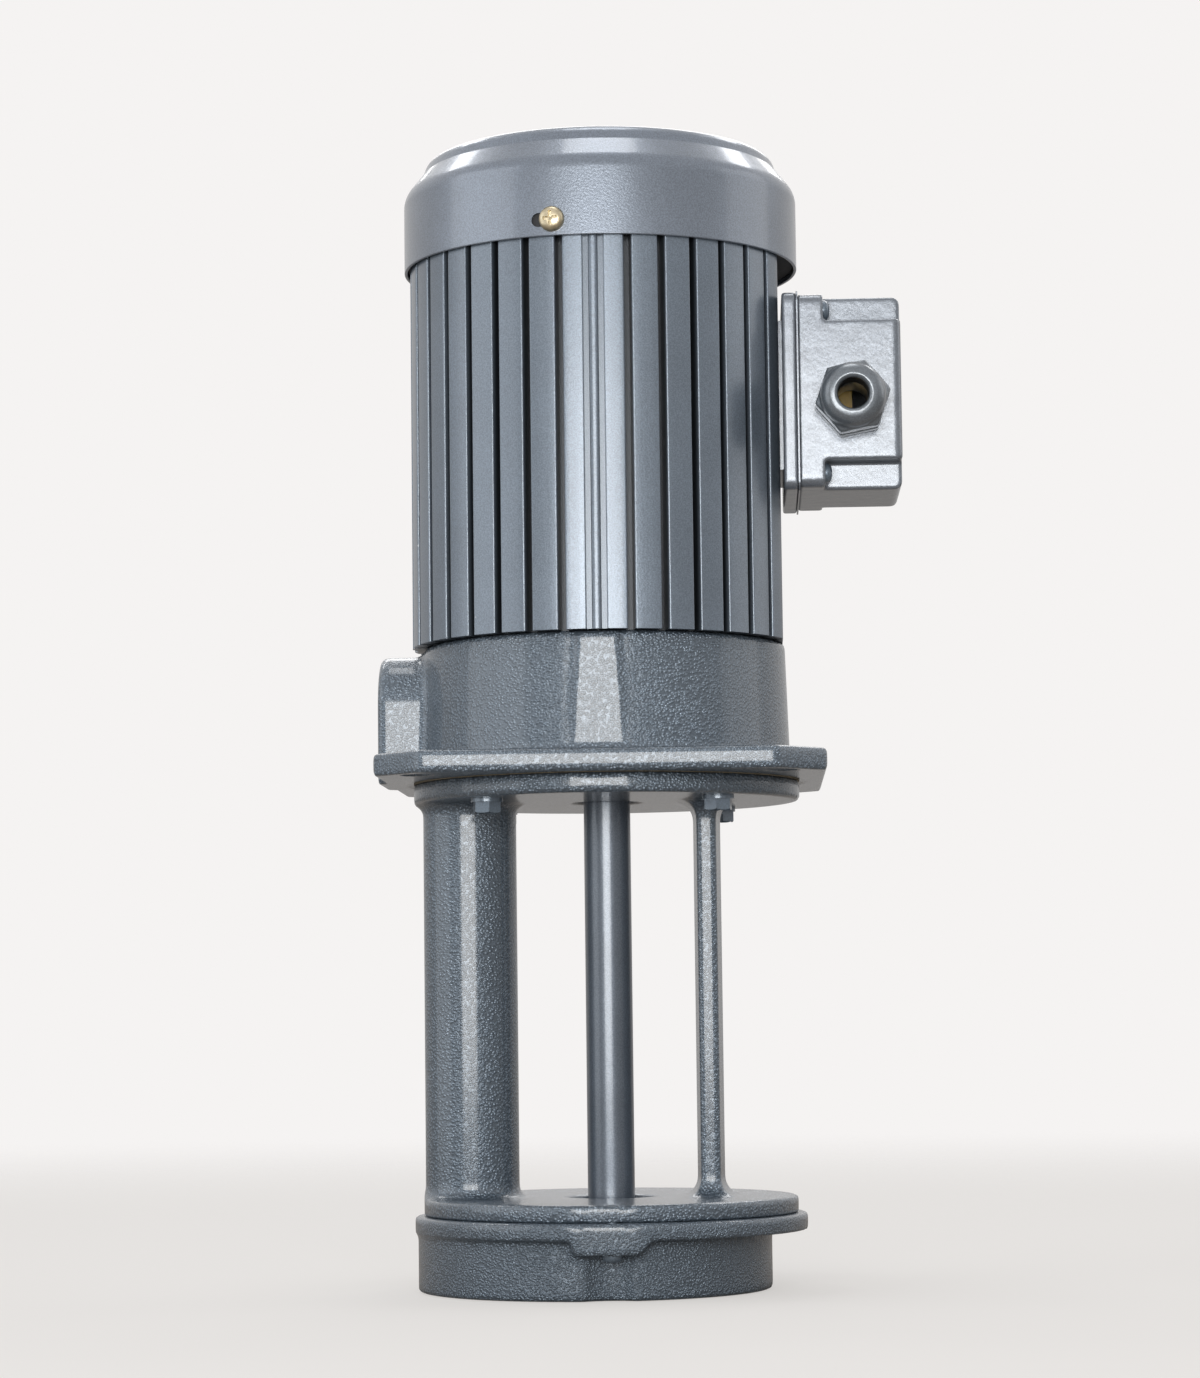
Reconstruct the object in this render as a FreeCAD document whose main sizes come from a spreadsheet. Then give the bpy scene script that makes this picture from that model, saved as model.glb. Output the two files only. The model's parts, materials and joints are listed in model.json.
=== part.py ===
import FreeCAD, Part
import math
import os
import re
import Sketcher

# Immersion coolant pump: a finned motor on a square mounting flange, a column casting
# that hangs into the tank with the discharge tube in it, and a pump stage at its foot.
# Millimetres. The origin is the centre of the mounting flange's underside on the shaft
# axis, +Z runs up to the motor, the cable gland faces -Y and the discharge port -X.

# Counts, angles in degrees and shares
FIN_PITCH = 10.0
GROOVES_PER_QUARTER = 8
COVER_SCREWS = 3
COVER_VENTS = 18
FAN_BLADES = 7
SCREW_TURN = -11.0
COLUMN_TURN = 45.0
LUG_TURN = 2.2
DOME_ANGLES = (0.0, 22.5, 45.0, 67.5, 90.0)
STATOR_SLOTS = 24
BALLS = 8
BALL_STEPS = 4
CAGE_SHARE = 0.55
CLIP_ANGLE = 300.0
SPLIT_WASHER_ANGLE = 350.0
VANES = 6
VANE_SWEEP = 62.0
GLAND_CLOCK = 11.0
HEAD_SIDE_SHARE = 0.45
HEAD_FLAT_SHARE = 0.68
WAVES = 3
WAVE_POINTS = 24
NEAR = 0.01

# Driving sizes
SIZES = {
    # clearances shared by all fits
    "fit_gap": 0.05,            # radial gap of a located or pressed fit
    "running_gap": 0.3,         # gap between turning and standing faces
    "hole_gap": 0.2,            # radial gap of a screw in its clearance hole
    "overcut": 1.0,             # how far a cut reaches past the face that it opens
    "joint_sink": 2.0,          # how far a joined shape reaches into the other
    "thread_relief": 0.5,       # spare depth of a threaded hole below its screw
    # mounting flange
    "flange_side": 140.0,
    "flange_thick": 7.0,
    "flange_bevel": 15.5,
    "flange_corner": 2.5,
    "flange_hole_radius": 4.5,
    "flange_hole_edge": 14.0,     # from the flange's side to the middle of a hole
    "recess_radius": 64.0,
    "gasket_thick": 0.5,
    # motor bracket
    "bracket_radius": 58.0,
    "bracket_draft": 1.4,
    "bracket_wall": 12.0,
    "bracket_height": 44.0,
    "bracket_floor": 12.0,
    "hub_wall": 7.0,
    "hub_height": 33.5,
    "spigot_height": 4.0,
    "spigot_wall": 4.0,
    "lug_head": 12.5,
    "lug_foot": 15.5,
    "lug_reach": 58.8,
    "lug_drop": 1.0,
    "boss_radius": 16.8,
    "boss_root": 3.5,
    "boss_edge": 2.4,
    "port_level": 25.0,
    "port_reach": 72.4,
    "port_radius": 9.3,
    "passage_wall": 4.0,
    # motor housing
    "housing_length": 124.0,
    "housing_bore": 50.0,
    "fin_radius": 62.0,
    "root_radius": 56.6,
    "groove_width": 2.3,
    "channel_width": 6.4,
    "channel_depth": 2.2,
    "bead_radius": 1.5,
    "pad_offset": 57.3,
    "window_radius": 8.0,
    "through_bolt_circle": 53.6,
    "through_bolt_radius": 2.0,
    "through_head_radius": 3.4,
    "through_head_height": 3.0,
    "through_thread": 7.0,
    # upper end shield and fan cover
    "shield_web": 4.0,
    "shield_rim_height": 8.4,
    "shield_rim_wall": 5.0,
    "shield_hub_wall": 5.5,
    "shield_lid": 3.0,
    "shield_hub_drop": 1.0,
    "shaft_clearance": 1.0,
    "cover_radius": 63.8,
    "cover_sheet": 1.0,
    "cover_overlap": 1.6,
    "cover_wall": 24.1,
    "shoulder_rise": 7.6,
    "shoulder_radius": 57.6,
    "crown_rise": 4.6,
    "crown_taper": 1.6,
    "shoulder_round": 8.0,
    "crown_round": 4.0,
    "step_round": 1.2,
    "pan_head_radius": 4.0,
    "pan_head_height": 2.6,
    "pan_end_gap": 1.0,
    "slot_height": 4.4,
    "slot_length": 8.0,
    "slot_shift": 1.7,
    "slot_bevel": 1.35,
    "cover_screw_level": 3.5,
    "intake_inner": 20.0,
    "intake_outer": 46.0,
    "intake_width": 3.4,
    # fan
    "fan_radius": 52.0,
    "fan_hub_radius": 11.0,
    "fan_hub_height": 13.0,
    "fan_disc": 2.0,
    "fan_lift": 2.0,
    "blade_thick": 2.0,
    "blade_height": 11.0,
    "blade_step": 2.0,
    "blade_corner": 4.0,
    "blade_drop": 1.0,
    # shaft
    "shaft_radius": 7.5,
    "core_seat_radius": 10.0,
    "lower_seat_radius": 8.5,
    "upper_seat_radius": 7.5,
    "fan_seat_radius": 6.0,
    "fan_seat_end": 2.0,
    "impeller_seat_radius": 6.0,
    "thread_radius": 4.0,
    "thread_end": 1.0,
    "seat_relief": 0.5,
    "shoulder_length": 1.0,
    # bearings: lower 6203, upper 6202
    "lower_bearing_level": 18.0,
    "lower_bearing_width": 12.0,
    "lower_bearing_outer_radius": 20.0,
    "lower_ball_radius": 3.37,
    "upper_bearing_drop": 10.0,
    "upper_bearing_width": 11.0,
    "upper_bearing_outer_radius": 17.5,
    "upper_ball_radius": 2.97,
    "race_land": 2.4,
    "cage_half_wall": 0.8,
    "spring_space": 2.6,
    "spring_thick": 0.5,
    "spring_width": 3.4,
    "spring_inset": 0.6,
    "spring_clearance": 0.02,
    "circlip_thick": 1.2,
    "circlip_depth": 1.2,
    "circlip_reach": 2.2,
    "seal_radius": 15.0,
    "seal_height": 7.0,
    "seal_offset": 6.5,
    "seal_step": 3.0,
    "seal_skin": 2.0,
    "seal_lip_wall": 1.6,
    "seal_lip_rise": 3.6,
    # stator and rotor
    "core_foot": 32.0,
    "core_head": 32.0,
    "air_gap": 0.3,
    "stator_bore": 28.0,
    "stator_slot_depth": 14.0,
    "stator_slot_width": 4.0,
    "stator_mouth_width": 1.6,
    "slot_lip": 2.0,
    "winding_head": 20.0,
    "winding_outer": 46.5,
    "winding_inner": 31.0,
    "end_ring_height": 8.0,
    "end_ring_inner": 15.0,
    "end_ring_step": 1.0,
    # column casting
    "column_flange_radius": 62.0,
    "column_flange_thick": 6.2,
    "column_depth": 137.0,
    "column_disc_radius": 59.6,
    "column_disc_thick": 5.4,
    "tube_radius": 15.0,
    "tube_bore": 9.5,
    "tube_offset": 44.3,
    "tube_flare": 3.5,
    "rib_offset": 32.0,
    "rib_edge": 6.0,
    "rib_middle": 8.8,
    "rib_depth": 30.0,
    "rib_flare": 6.0,
    "shaft_hole_radius": 10.0,
    "throat_radius": 13.7,
    "column_bolt_circle": 51.1,
    "column_bolt_radius": 2.5,
    "column_bolt_grip": 9.0,
    "column_bolt_flats": 8.0,
    "column_bolt_head": 3.5,
    "column_washer_radius": 5.0,
    "column_washer_thick": 1.2,
    "gasket_inset": 4.0,
    # suction cover
    "ring_radius": 62.5,
    "ring_thick": 5.4,
    "volute_radius": 56.3,
    "volute_shift": 5.3,
    "volute_wall": 6.0,
    "volute_depth": 23.9,
    "volute_floor": 6.0,
    "eye_radius": 18.0,
    "eye_lead": 1.6,
    "cover_lug_top_left": 12.8,
    "cover_lug_top_right": 14.4,
    "cover_lug_foot_left": 12.0,
    "cover_lug_foot_right": 8.0,
    "cover_lug_drop": 4.3,
    "cover_screw_circle": 56.5,
    "cover_screw_radius": 2.0,
    "cover_screw_length": 14.0,
    "cover_screw_head_radius": 3.2,
    "cover_screw_head_height": 2.4,
    "recess_sweep": 12.0,
    "recess_bite": 3.5,
    # impeller
    "impeller_radius": 41.5,
    "impeller_top_gap": 2.0,
    "impeller_plate": 2.5,
    "impeller_hub_radius": 10.5,
    "impeller_hub_length": 13.0,
    "neck_recess": 2.4,
    "vane_thick": 2.4,
    "vane_inner": 17.0,
    "vane_gap": 0.8,
    "vane_bend": 34.0,
    "vane_inset": 0.2,
    "key_width": 4.0,
    "key_height": 4.0,
    "key_length": 9.0,
    "key_sink": 2.5,
    "key_lift": 2.0,
    "nut_flats": 13.0,
    "nut_height": 4.2,
    "washer_radius": 8.0,
    "washer_thick": 1.2,
    # terminal box
    "box_drop": 45.8,
    "box_depth": 60.0,
    "box_height": 61.8,
    "box_lip": 1.4,
    "seam_flash": 0.7,
    "base_gasket_thick": 1.1,
    "base_thick": 4.6,
    "box_gasket_thick": 0.5,
    "cover_flange": 8.0,
    "cover_body": 24.5,
    "cover_skin": 3.0,
    "notch_width": 9.0,
    "notch_height": 8.6,
    "box_corner": 3.0,
    "box_end_round": 2.4,
    "box_screw_head_radius": 3.2,
    "box_screw_head_height": 2.2,
    "box_screw_radius": 2.0,
    "box_screw_thread": 4.0,
    "box_screw_inset": 4.8,
    "base_screw_spread": 36.0,
    "base_screw_side": 14.5,
    "base_screw_grip": 3.0,
    "base_gasket_margin": 6.0,
    "block_width": 18.0,
    "block_height": 44.0,
    "block_shift": 8.0,
    "block_foot": 3.0,
    "block_thick": 13.0,
    "block_ear": 5.5,
    "guard_thick": 3.0,
    "guard_reach": 17.6,
    "guard_head": 1.4,
    "barrier_rise": 4.0,
    "barrier_thick": 1.8,
    "stud_pitch": 13.0,
    "stud_radius": 2.0,
    "stud_length": 8.0,
    "stud_nut_flats": 7.0,
    "stud_nut_height": 3.0,
    "block_screw_spread": 39.0,
    "block_screw_radius": 1.5,
    "block_screw_head_radius": 2.6,
    "block_screw_head_height": 1.8,
    "earth_side": 21.0,
    # cable gland
    "gland_offset": 8.7,
    "gland_drop": 4.2,
    "gland_thread_radius": 8.0,
    "gland_hex_flats": 21.0,
    "gland_hex_thick": 5.0,
    "gland_neck": 3.0,
    "gland_stub": 8.0,
    "gland_nut_length": 13.0,
    "gland_nut_hex": 6.5,
    "gland_mouth_radius": 4.9,
    "gland_mouth_lip": 2.5,
    "dome_sink": 0.2,
    "dome_fall": 1.8,
    "dome_radius": 10.2,
    "dome_height": 4.4,
    "dome_rim": 1.3,
    "mouth_bevel": 0.8,
    "gland_seal_radius": 6.2,
    "gland_seal_length": 8.0,
    "locknut_flats": 21.0,
    "locknut_thick": 4.0,
}

# Places worked out from the driving sizes
DERIVED = {
    "hub_radius": "lower_bearing_outer_radius + hub_wall",
    "cavity_radius": "bracket_radius - bracket_wall",
    "housing_top": "bracket_height + housing_length",
    "web_top": "housing_top + shield_web",
    "rim_top": "housing_top + shield_rim_height",
    "rim_radius": "cover_radius - cover_sheet - hole_gap",
    "upper_bearing_level": "housing_top - upper_bearing_drop",
    "upper_bearing_top": "upper_bearing_level + upper_bearing_width",
    "shield_bore_top": "upper_bearing_top + spring_space",
    "lid_top": "shield_bore_top + shield_lid",
    "fan_level": "lid_top + fan_lift",
    "fan_top": "fan_level + fan_hub_height",
    "fan_bore": "fan_seat_radius + fit_gap",
    "cover_foot": "housing_top - cover_overlap",
    "wall_top": "cover_foot + cover_wall",
    "shoulder_top": "wall_top + shoulder_rise",
    "crown_top": "shoulder_top + crown_rise",
    "screw_level": "housing_top + cover_screw_level",
    "seal_top": "seal_offset + seal_height",
    "lower_bearing_top": "lower_bearing_level + lower_bearing_width",
    "core_level": "bracket_height + core_foot",
    "core_top": "housing_top - core_head",
    "core_length": "core_top - core_level",
    "rotor_radius": "stator_bore - air_gap",
    "core_radius": "housing_bore - fit_gap",
    "slot_bottom": "stator_bore + stator_slot_depth",
    "disc_top": "column_disc_thick - column_depth",
    "ring_bottom": "-column_depth - ring_thick",
    "pump_foot": "-column_depth - volute_depth",
    "volute_bottom": "pump_foot + volute_floor",
    "lug_bottom": "ring_bottom - cover_lug_drop",
    "plate_top": "-column_depth - impeller_top_gap",
    "plate_bottom": "plate_top - impeller_plate",
    "neck_top": "disc_top - neck_recess",
    "neck_radius": "throat_radius - running_gap",
    "impeller_bottom": "plate_top - impeller_hub_length",
    "vane_bottom": "volute_bottom + vane_gap",
    "key_top": "impeller_bottom + key_lift + key_length",
    "washer_bottom": "impeller_bottom - washer_thick",
    "nut_bottom": "washer_bottom - nut_height",
    "box_level": "housing_top - box_drop",
    "gland_level": "box_level - gland_drop",
    "base_face": "pad_offset + base_gasket_thick",
    "box_seam": "base_face + base_thick",
    "cover_face": "box_seam + box_gasket_thick",
    "step_face": "cover_face + cover_flange",
    "box_end": "step_face + cover_body",
    "box_front": "box_depth / 2",
    "gland_axis": "step_face + gland_offset",
    "hex_front": "box_front + gland_hex_thick",
    "nut_back": "hex_front + gland_neck / 3",
    "nut_front": "nut_back + gland_nut_length",
    "seal_back": "nut_front - gland_mouth_lip - gland_seal_length",
}

doc = FreeCAD.newDocument("ImmersionCoolantPump")
sheet = doc.addObject("Spreadsheet::Sheet", "Sizes")
for row, (alias, value) in enumerate(SIZES.items(), start=1):
    sheet.set(f"A{row}", alias.replace("_", " "))
    sheet.set(f"B{row}", str(value))
    sheet.setAlias(f"B{row}", alias)
doc.recompute()

pieces = {}
NAME = re.compile(r"\b[a-z][a-z0-9_]*\b(?!\()")


def tied(text):
    """The expression text with every size named in the sheet."""
    def word(match):
        name = match.group(0)
        if name in DERIVED:
            return "(" + tied(DERIVED[name]) + ")"
        return "Sizes." + name
    return NAME.sub(word, str(text))


def number(text):
    return float(sheet.evalExpression(tied(text)))


def piece(label):
    """A body that becomes one node of the pump."""
    body = doc.addObject("PartDesign::Body", label)
    body.Label = label
    pieces[label] = body
    return body


def pattern_body(name):
    """A body that is only copied, such as one screw of a set."""
    return doc.addObject("PartDesign::Body", name)


def sketch_on(body, name, role, offset=None, turn=0.0, side=None):
    """A sketch on one of the body's origin planes, moved along its normal by offset
    and along its first axis by side."""
    sketch = body.newObject("Sketcher::SketchObject", name)
    plane = next(f for f in body.Origin.OriginFeatures if f.Role == role)
    sketch.AttachmentSupport = [(plane, "")]
    sketch.MapMode = "FlatFace"
    axis = FreeCAD.Vector(0, 0, 1)
    sketch.AttachmentOffset = FreeCAD.Placement(FreeCAD.Vector(), FreeCAD.Rotation(axis, turn))
    if offset is not None:
        sketch.setExpression(".AttachmentOffset.Base.z", tied(offset))
    if side is not None:
        sketch.setExpression(".AttachmentOffset.Base.x", tied(side))
    return sketch


def pin(sketch, geometry, point, across, up):
    """Hold one point at its two expressions; None leaves that direction free."""
    for kind, text in (("DistanceX", across), ("DistanceY", up)):
        if text is not None:
            rule = Sketcher.Constraint(kind, -1, 1, geometry, point, number(text))
            index = sketch.addConstraint(rule)
            sketch.setExpression(f"Constraints[{index}]", tied(text))


def outline(sketch, corners):
    """A closed outline of straight lines through the corners."""
    first = sketch.GeometryCount
    points = [FreeCAD.Vector(number(a), number(b), 0) for a, b in corners]
    count = len(points)
    for i in range(count):
        sketch.addGeometry(Part.LineSegment(points[i], points[(i + 1) % count]))
    for i in range(count):
        following = first + (i + 1) % count
        sketch.addConstraint(Sketcher.Constraint("Coincident", first + i, 2, following, 1))
    for i, (across, up) in enumerate(corners):
        pin(sketch, first + i, 1, across, up)


def circle(sketch, radius, across="0", up="0"):
    centre = FreeCAD.Vector(number(across), number(up), 0)
    index = sketch.addGeometry(Part.Circle(centre, FreeCAD.Vector(0, 0, 1), number(radius)))
    pin(sketch, index, 3, across, up)
    rule = sketch.addConstraint(Sketcher.Constraint("Radius", index, number(radius)))
    sketch.setExpression(f"Constraints[{rule}]", tied(radius))


def hexagon(sketch, flats, across="0", up="0"):
    """A hexagon whose width across flats is given, with a corner along the first axis."""
    corners = []
    for i in range(6):
        angle = 60 * i
        reach = f"({flats}) / 2 / cos(30)"
        corners.append((f"{across} + {reach} * cos({angle})", f"{up} + {reach} * sin({angle})"))
    outline(sketch, corners)


def arch(sketch, radius, level, foot):
    """A doorway shape: upright sides and a half-round top."""
    r, z, low = number(radius), number(level), number(foot)
    centre = FreeCAD.Vector(0, z, 0)
    top = Part.Circle(centre, FreeCAD.Vector(0, 0, 1), r)
    first = sketch.addGeometry(Part.ArcOfCircle(top, 0.0, math.pi))
    points = [(-r, z), (-r, low), (r, low), (r, z)]
    for i in range(3):
        start = FreeCAD.Vector(*points[i], 0)
        end = FreeCAD.Vector(*points[i + 1], 0)
        sketch.addGeometry(Part.LineSegment(start, end))
    pin(sketch, first, 3, "0", level)
    sketch.addConstraint(Sketcher.Constraint("Coincident", first, 2, first + 1, 1))
    sketch.addConstraint(Sketcher.Constraint("Coincident", first + 1, 2, first + 2, 1))
    sketch.addConstraint(Sketcher.Constraint("Coincident", first + 2, 2, first + 3, 1))
    sketch.addConstraint(Sketcher.Constraint("Coincident", first + 3, 2, first, 1))
    pin(sketch, first + 1, 1, f"-({radius})", level)
    pin(sketch, first + 1, 2, f"-({radius})", foot)
    pin(sketch, first + 2, 2, radius, foot)
    pin(sketch, first + 3, 2, None, level)


def finish(body, feature):
    body.Tip = feature
    doc.recompute()
    return feature


def pad(body, name, sketch, length, backwards=False):
    feature = body.newObject("PartDesign::Pad", name)
    feature.Profile = sketch
    feature.Reversed = backwards
    feature.setExpression("Length", tied(length))
    return finish(body, feature)


def pocket(body, name, sketch, length, backwards=False):
    """A cut along the sketch's negative normal, or along its normal if backwards."""
    before = body.Tip.Shape.Volume
    feature = body.newObject("PartDesign::Pocket", name)
    feature.Profile = sketch
    feature.Reversed = backwards
    feature.setExpression("Length", tied(length))
    finish(body, feature)
    if not feature.Shape.Volume < before:
        raise ValueError(f"{name} cuts nothing")
    return feature


def revolve(body, name, sketch, kind="PartDesign::Revolution", angle=360.0, axis="V_Axis"):
    feature = body.newObject(kind, name)
    feature.Profile = sketch
    feature.ReferenceAxis = (sketch, [axis])
    feature.Angle = angle
    return finish(body, feature)


def turned(body, name, corners, angle=360.0):
    """A lathe shape about the shaft axis; corners are radius and height."""
    sketch = sketch_on(body, name + "_profile", "XZ_Plane")
    outline(sketch, corners)
    return revolve(body, name, sketch, angle=angle)


def bored(body, name, corners):
    """A lathe cut about the shaft axis."""
    before = body.Tip.Shape.Volume
    sketch = sketch_on(body, name + "_profile", "XZ_Plane")
    outline(sketch, corners)
    feature = revolve(body, name, sketch, "PartDesign::Groove")
    if not feature.Shape.Volume < before:
        raise ValueError(f"{name} cuts nothing")
    return feature


def around(body, name, feature, count, angle=360.0):
    """Copies of a feature about the Z axis."""
    copies = body.newObject("PartDesign::PolarPattern", name)
    copies.Originals = [feature]
    axis = next(f for f in body.Origin.OriginFeatures if f.Role == "Z_Axis")
    copies.Axis = (axis, [""])
    copies.Angle = angle
    copies.Occurrences = count
    return finish(body, copies)


def soften(body, name, radius, wanted, kind="PartDesign::Fillet"):
    """Round or bevel the edges that the test picks."""
    base = body.Tip
    edges = base.Shape.Edges
    names = [f"Edge{i + 1}" for i, edge in enumerate(edges) if wanted(edge)]
    if not names:
        raise ValueError(f"{name} finds no edge")
    feature = body.newObject(kind, name)
    feature.Base = (base, names)
    size = "Radius" if kind == "PartDesign::Fillet" else "Size"
    feature.setExpression(size, tied(radius))
    return finish(body, feature)


def ring_edge(radius, level):
    """Picks full or part circles about a Z axis, by radius and height."""
    r, z = number(radius), number(level)

    def wanted(edge):
        round_edge = isinstance(edge.Curve, Part.Circle)
        return round_edge and abs(edge.Curve.Radius - r) < NEAR and abs(edge.CenterOfMass.z - z) < NEAR
    return wanted


def upright_edge(across, up):
    """Picks the vertical edges at a distance from both planes through the axis."""
    x, y = number(across), number(up)

    def wanted(edge):
        box = edge.BoundBox
        straight = box.XLength < NEAR and box.YLength < NEAR
        return straight and abs(abs(box.XMin) - x) < NEAR and abs(abs(box.YMin) - y) < NEAR
    return wanted


def copies_of(label, master, places):
    """A set of like fasteners: each place is x, y, z and the way its head faces."""
    links = []
    for i, (x, y, z, facing) in enumerate(places):
        link = doc.addObject("App::Link", f"{label}_{i + 1}")
        link.LinkedObject = master
        turn = FreeCAD.Rotation(FreeCAD.Vector(0, 0, 1), FreeCAD.Vector(*facing))
        link.Placement = FreeCAD.Placement(FreeCAD.Vector(), turn)
        link.setExpression("Placement.Base.x", tied(x))
        link.setExpression("Placement.Base.y", tied(y))
        link.setExpression("Placement.Base.z", tied(z))
        links.append(link)
    group = doc.addObject("Part::Compound", label)
    group.Label = label
    group.Links = links
    pieces[label] = group
    doc.recompute()
    return group


def round_screw(name, head_radius, head_height, radius, length):
    """A pan-head screw, its head up and its seat at the origin."""
    body = pattern_body(name)
    turned(body, name + "_blank", [
        ("0", f"-({length})"), (radius, f"-({length})"), (radius, "0"), (head_radius, "0"),
        (head_radius, f"({head_height}) * {HEAD_SIDE_SHARE}"),
        (f"({head_radius}) * {HEAD_FLAT_SHARE}", head_height),
        ("0", head_height)])
    return body


def hex_screw(name, flats, head_height, radius, length):
    """A hexagon-head bolt, its head up and its seat at the origin."""
    body = pattern_body(name)
    sketch = sketch_on(body, name + "_hexagon", "XY_Plane")
    hexagon(sketch, flats)
    pad(body, name + "_head", sketch, head_height)
    shank = sketch_on(body, name + "_circle", "XY_Plane")
    circle(shank, radius)
    pad(body, name + "_shank", shank, length, backwards=True)
    return body


# Mounting flange, bearing bracket and discharge boss, one casting
def motor_bracket():
    body = piece("motor_bracket")
    half = "flange_side / 2"
    cut = "(flange_side / 2 - flange_bevel)"
    plate = sketch_on(body, "flange_outline", "XY_Plane")
    outline(plate, [
        (cut, f"-{half}"), (half, f"-{cut}"), (half, cut), (cut, half),
        (f"-{cut}", half), (f"-{half}", cut), (f"-{half}", f"-{cut}"), (f"-{cut}", f"-{half}")])
    pad(body, "flange", plate, "flange_thick")
    soften(body, "flange_corners", "flange_corner", lambda e: upright_edge(half, cut)(e)
           or upright_edge(cut, half)(e))
    turned(body, "barrel", [
        ("0", "0"), ("bracket_radius + bracket_draft", "0"),
        ("bracket_radius", "bracket_height"), ("0", "bracket_height")])
    lug = sketch_on(body, "lug_outline", "XZ_Plane", offset="cavity_radius + joint_sink")
    top = "bracket_height - lug_drop"
    outline(lug, [("-lug_foot / 2", "0"), ("lug_foot / 2", "0"),
                  ("lug_head / 2", top), ("-lug_head / 2", top)])
    front_lug = pad(body, "front_lug", lug, "lug_reach - cavity_radius - joint_sink")
    around(body, "lugs", front_lug, 2)
    door = sketch_on(body, "boss_outline", "YZ_Plane", offset="-port_reach")
    arch(door, "boss_radius", "port_level", "0")
    pad(body, "boss", door, "port_reach - cavity_radius - joint_sink")
    rim = number("-port_reach")
    flange_top = number("flange_thick") + NEAR
    boss_wall = "(port_reach - bracket_radius) / 4"
    soften(body, "boss_edge_round", f"min(boss_edge; {boss_wall})", lambda e: abs(e.BoundBox.XMin - rim) < NEAR
           and e.BoundBox.XLength < NEAR and e.BoundBox.ZMax > flange_top)
    root = number("bracket_radius") - 1
    side_y = number("boss_radius") + NEAR

    def boss_root(edge):
        box = edge.BoundBox
        inside = box.XMin > -root - 4 and box.XMax < -root + 5 and box.ZMin > flange_top - 2 * NEAR
        return inside and abs(box.YMin) < side_y and abs(box.YMax) < side_y and box.ZLength > 1
    soften(body, "boss_root_round", f"min(boss_root; {boss_wall})", boss_root)
    well = sketch_on(body, "well_circle", "XY_Plane", offset="bracket_height")
    circle(well, "cavity_radius")
    pocket(body, "well", well, "bracket_height - hub_height")
    trough = sketch_on(body, "trough_circles", "XY_Plane", offset="hub_height")
    circle(trough, "cavity_radius")
    circle(trough, "hub_radius")
    pocket(body, "trough", trough, "hub_height - bracket_floor")
    elbow = sketch_on(body, "elbow_outline", "XY_Plane", offset="bracket_floor")
    inner = "-(tube_offset - tube_bore - passage_wall)"
    side = "(port_radius + passage_wall)"
    outer = "-(cavity_radius + overcut)"
    outline(elbow, [(outer, f"-{side}"), (inner, f"-{side}"), (inner, side), (outer, side)])
    pad(body, "elbow", elbow, "port_level + port_radius + passage_wall - bracket_floor")
    spigot = sketch_on(body, "spigot_circles", "XY_Plane", offset="bracket_height")
    circle(spigot, "housing_bore - fit_gap")
    circle(spigot, "cavity_radius")
    pad(body, "spigot", spigot, "spigot_height")
    groove_low = "lower_bearing_top"
    groove_high = "lower_bearing_top + circlip_thick + fit_gap"
    bearing_bore = "lower_bearing_outer_radius + fit_gap"
    bored(body, "bearing_and_seal_bores", [
        ("0", "-overcut"), ("seal_radius + fit_gap", "-overcut"),
        ("seal_radius + fit_gap", "seal_top"), ("seal_radius - seal_step", "seal_top"),
        ("seal_radius - seal_step", "lower_bearing_level"),
        (bearing_bore, "lower_bearing_level"), (bearing_bore, groove_low),
        (f"{bearing_bore} + circlip_depth", groove_low),
        (f"{bearing_bore} + circlip_depth", groove_high), (bearing_bore, groove_high),
        (bearing_bore, "hub_height + overcut"), ("0", "hub_height + overcut")])
    seat = sketch_on(body, "seat_circle", "XY_Plane")
    circle(seat, "recess_radius")
    pocket(body, "seat", seat, "gasket_thick", backwards=True)
    rise = sketch_on(body, "passage_circle", "XY_Plane")
    circle(rise, "tube_bore", "-tube_offset")
    pocket(body, "passage", rise, "port_level", backwards=True)
    port = sketch_on(body, "port_circle", "YZ_Plane", offset="-port_reach")
    circle(port, "port_radius", "0", "port_level")
    pocket(body, "port", port, "port_reach - tube_offset", backwards=True)
    holes = sketch_on(body, "flange_hole_circles", "XY_Plane")
    for x in ("", "-"):
        for y in ("", "-"):
            circle(holes, "flange_hole_radius", f"{x}(flange_side / 2 - flange_hole_edge)",
                   f"{y}(flange_side / 2 - flange_hole_edge)")
    pocket(body, "flange_holes", holes, "flange_thick", backwards=True)
    thread = sketch_on(body, "through_bolt_circle_end", "XY_Plane", offset="bracket_height")
    circle(thread, "through_bolt_radius + fit_gap", "through_bolt_circle")
    first = pocket(body, "through_bolt_hole", thread, "through_thread + thread_relief")
    around(body, "through_bolt_holes", first, 4)
    bolt = sketch_on(body, "column_bolt_circle_end", "XY_Plane", turn=COLUMN_TURN)
    circle(bolt, "column_bolt_radius + fit_gap", "column_bolt_circle")
    first = pocket(body, "column_bolt_hole", bolt, "column_bolt_grip + thread_relief", backwards=True)
    around(body, "column_bolt_holes", first, 4)


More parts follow.
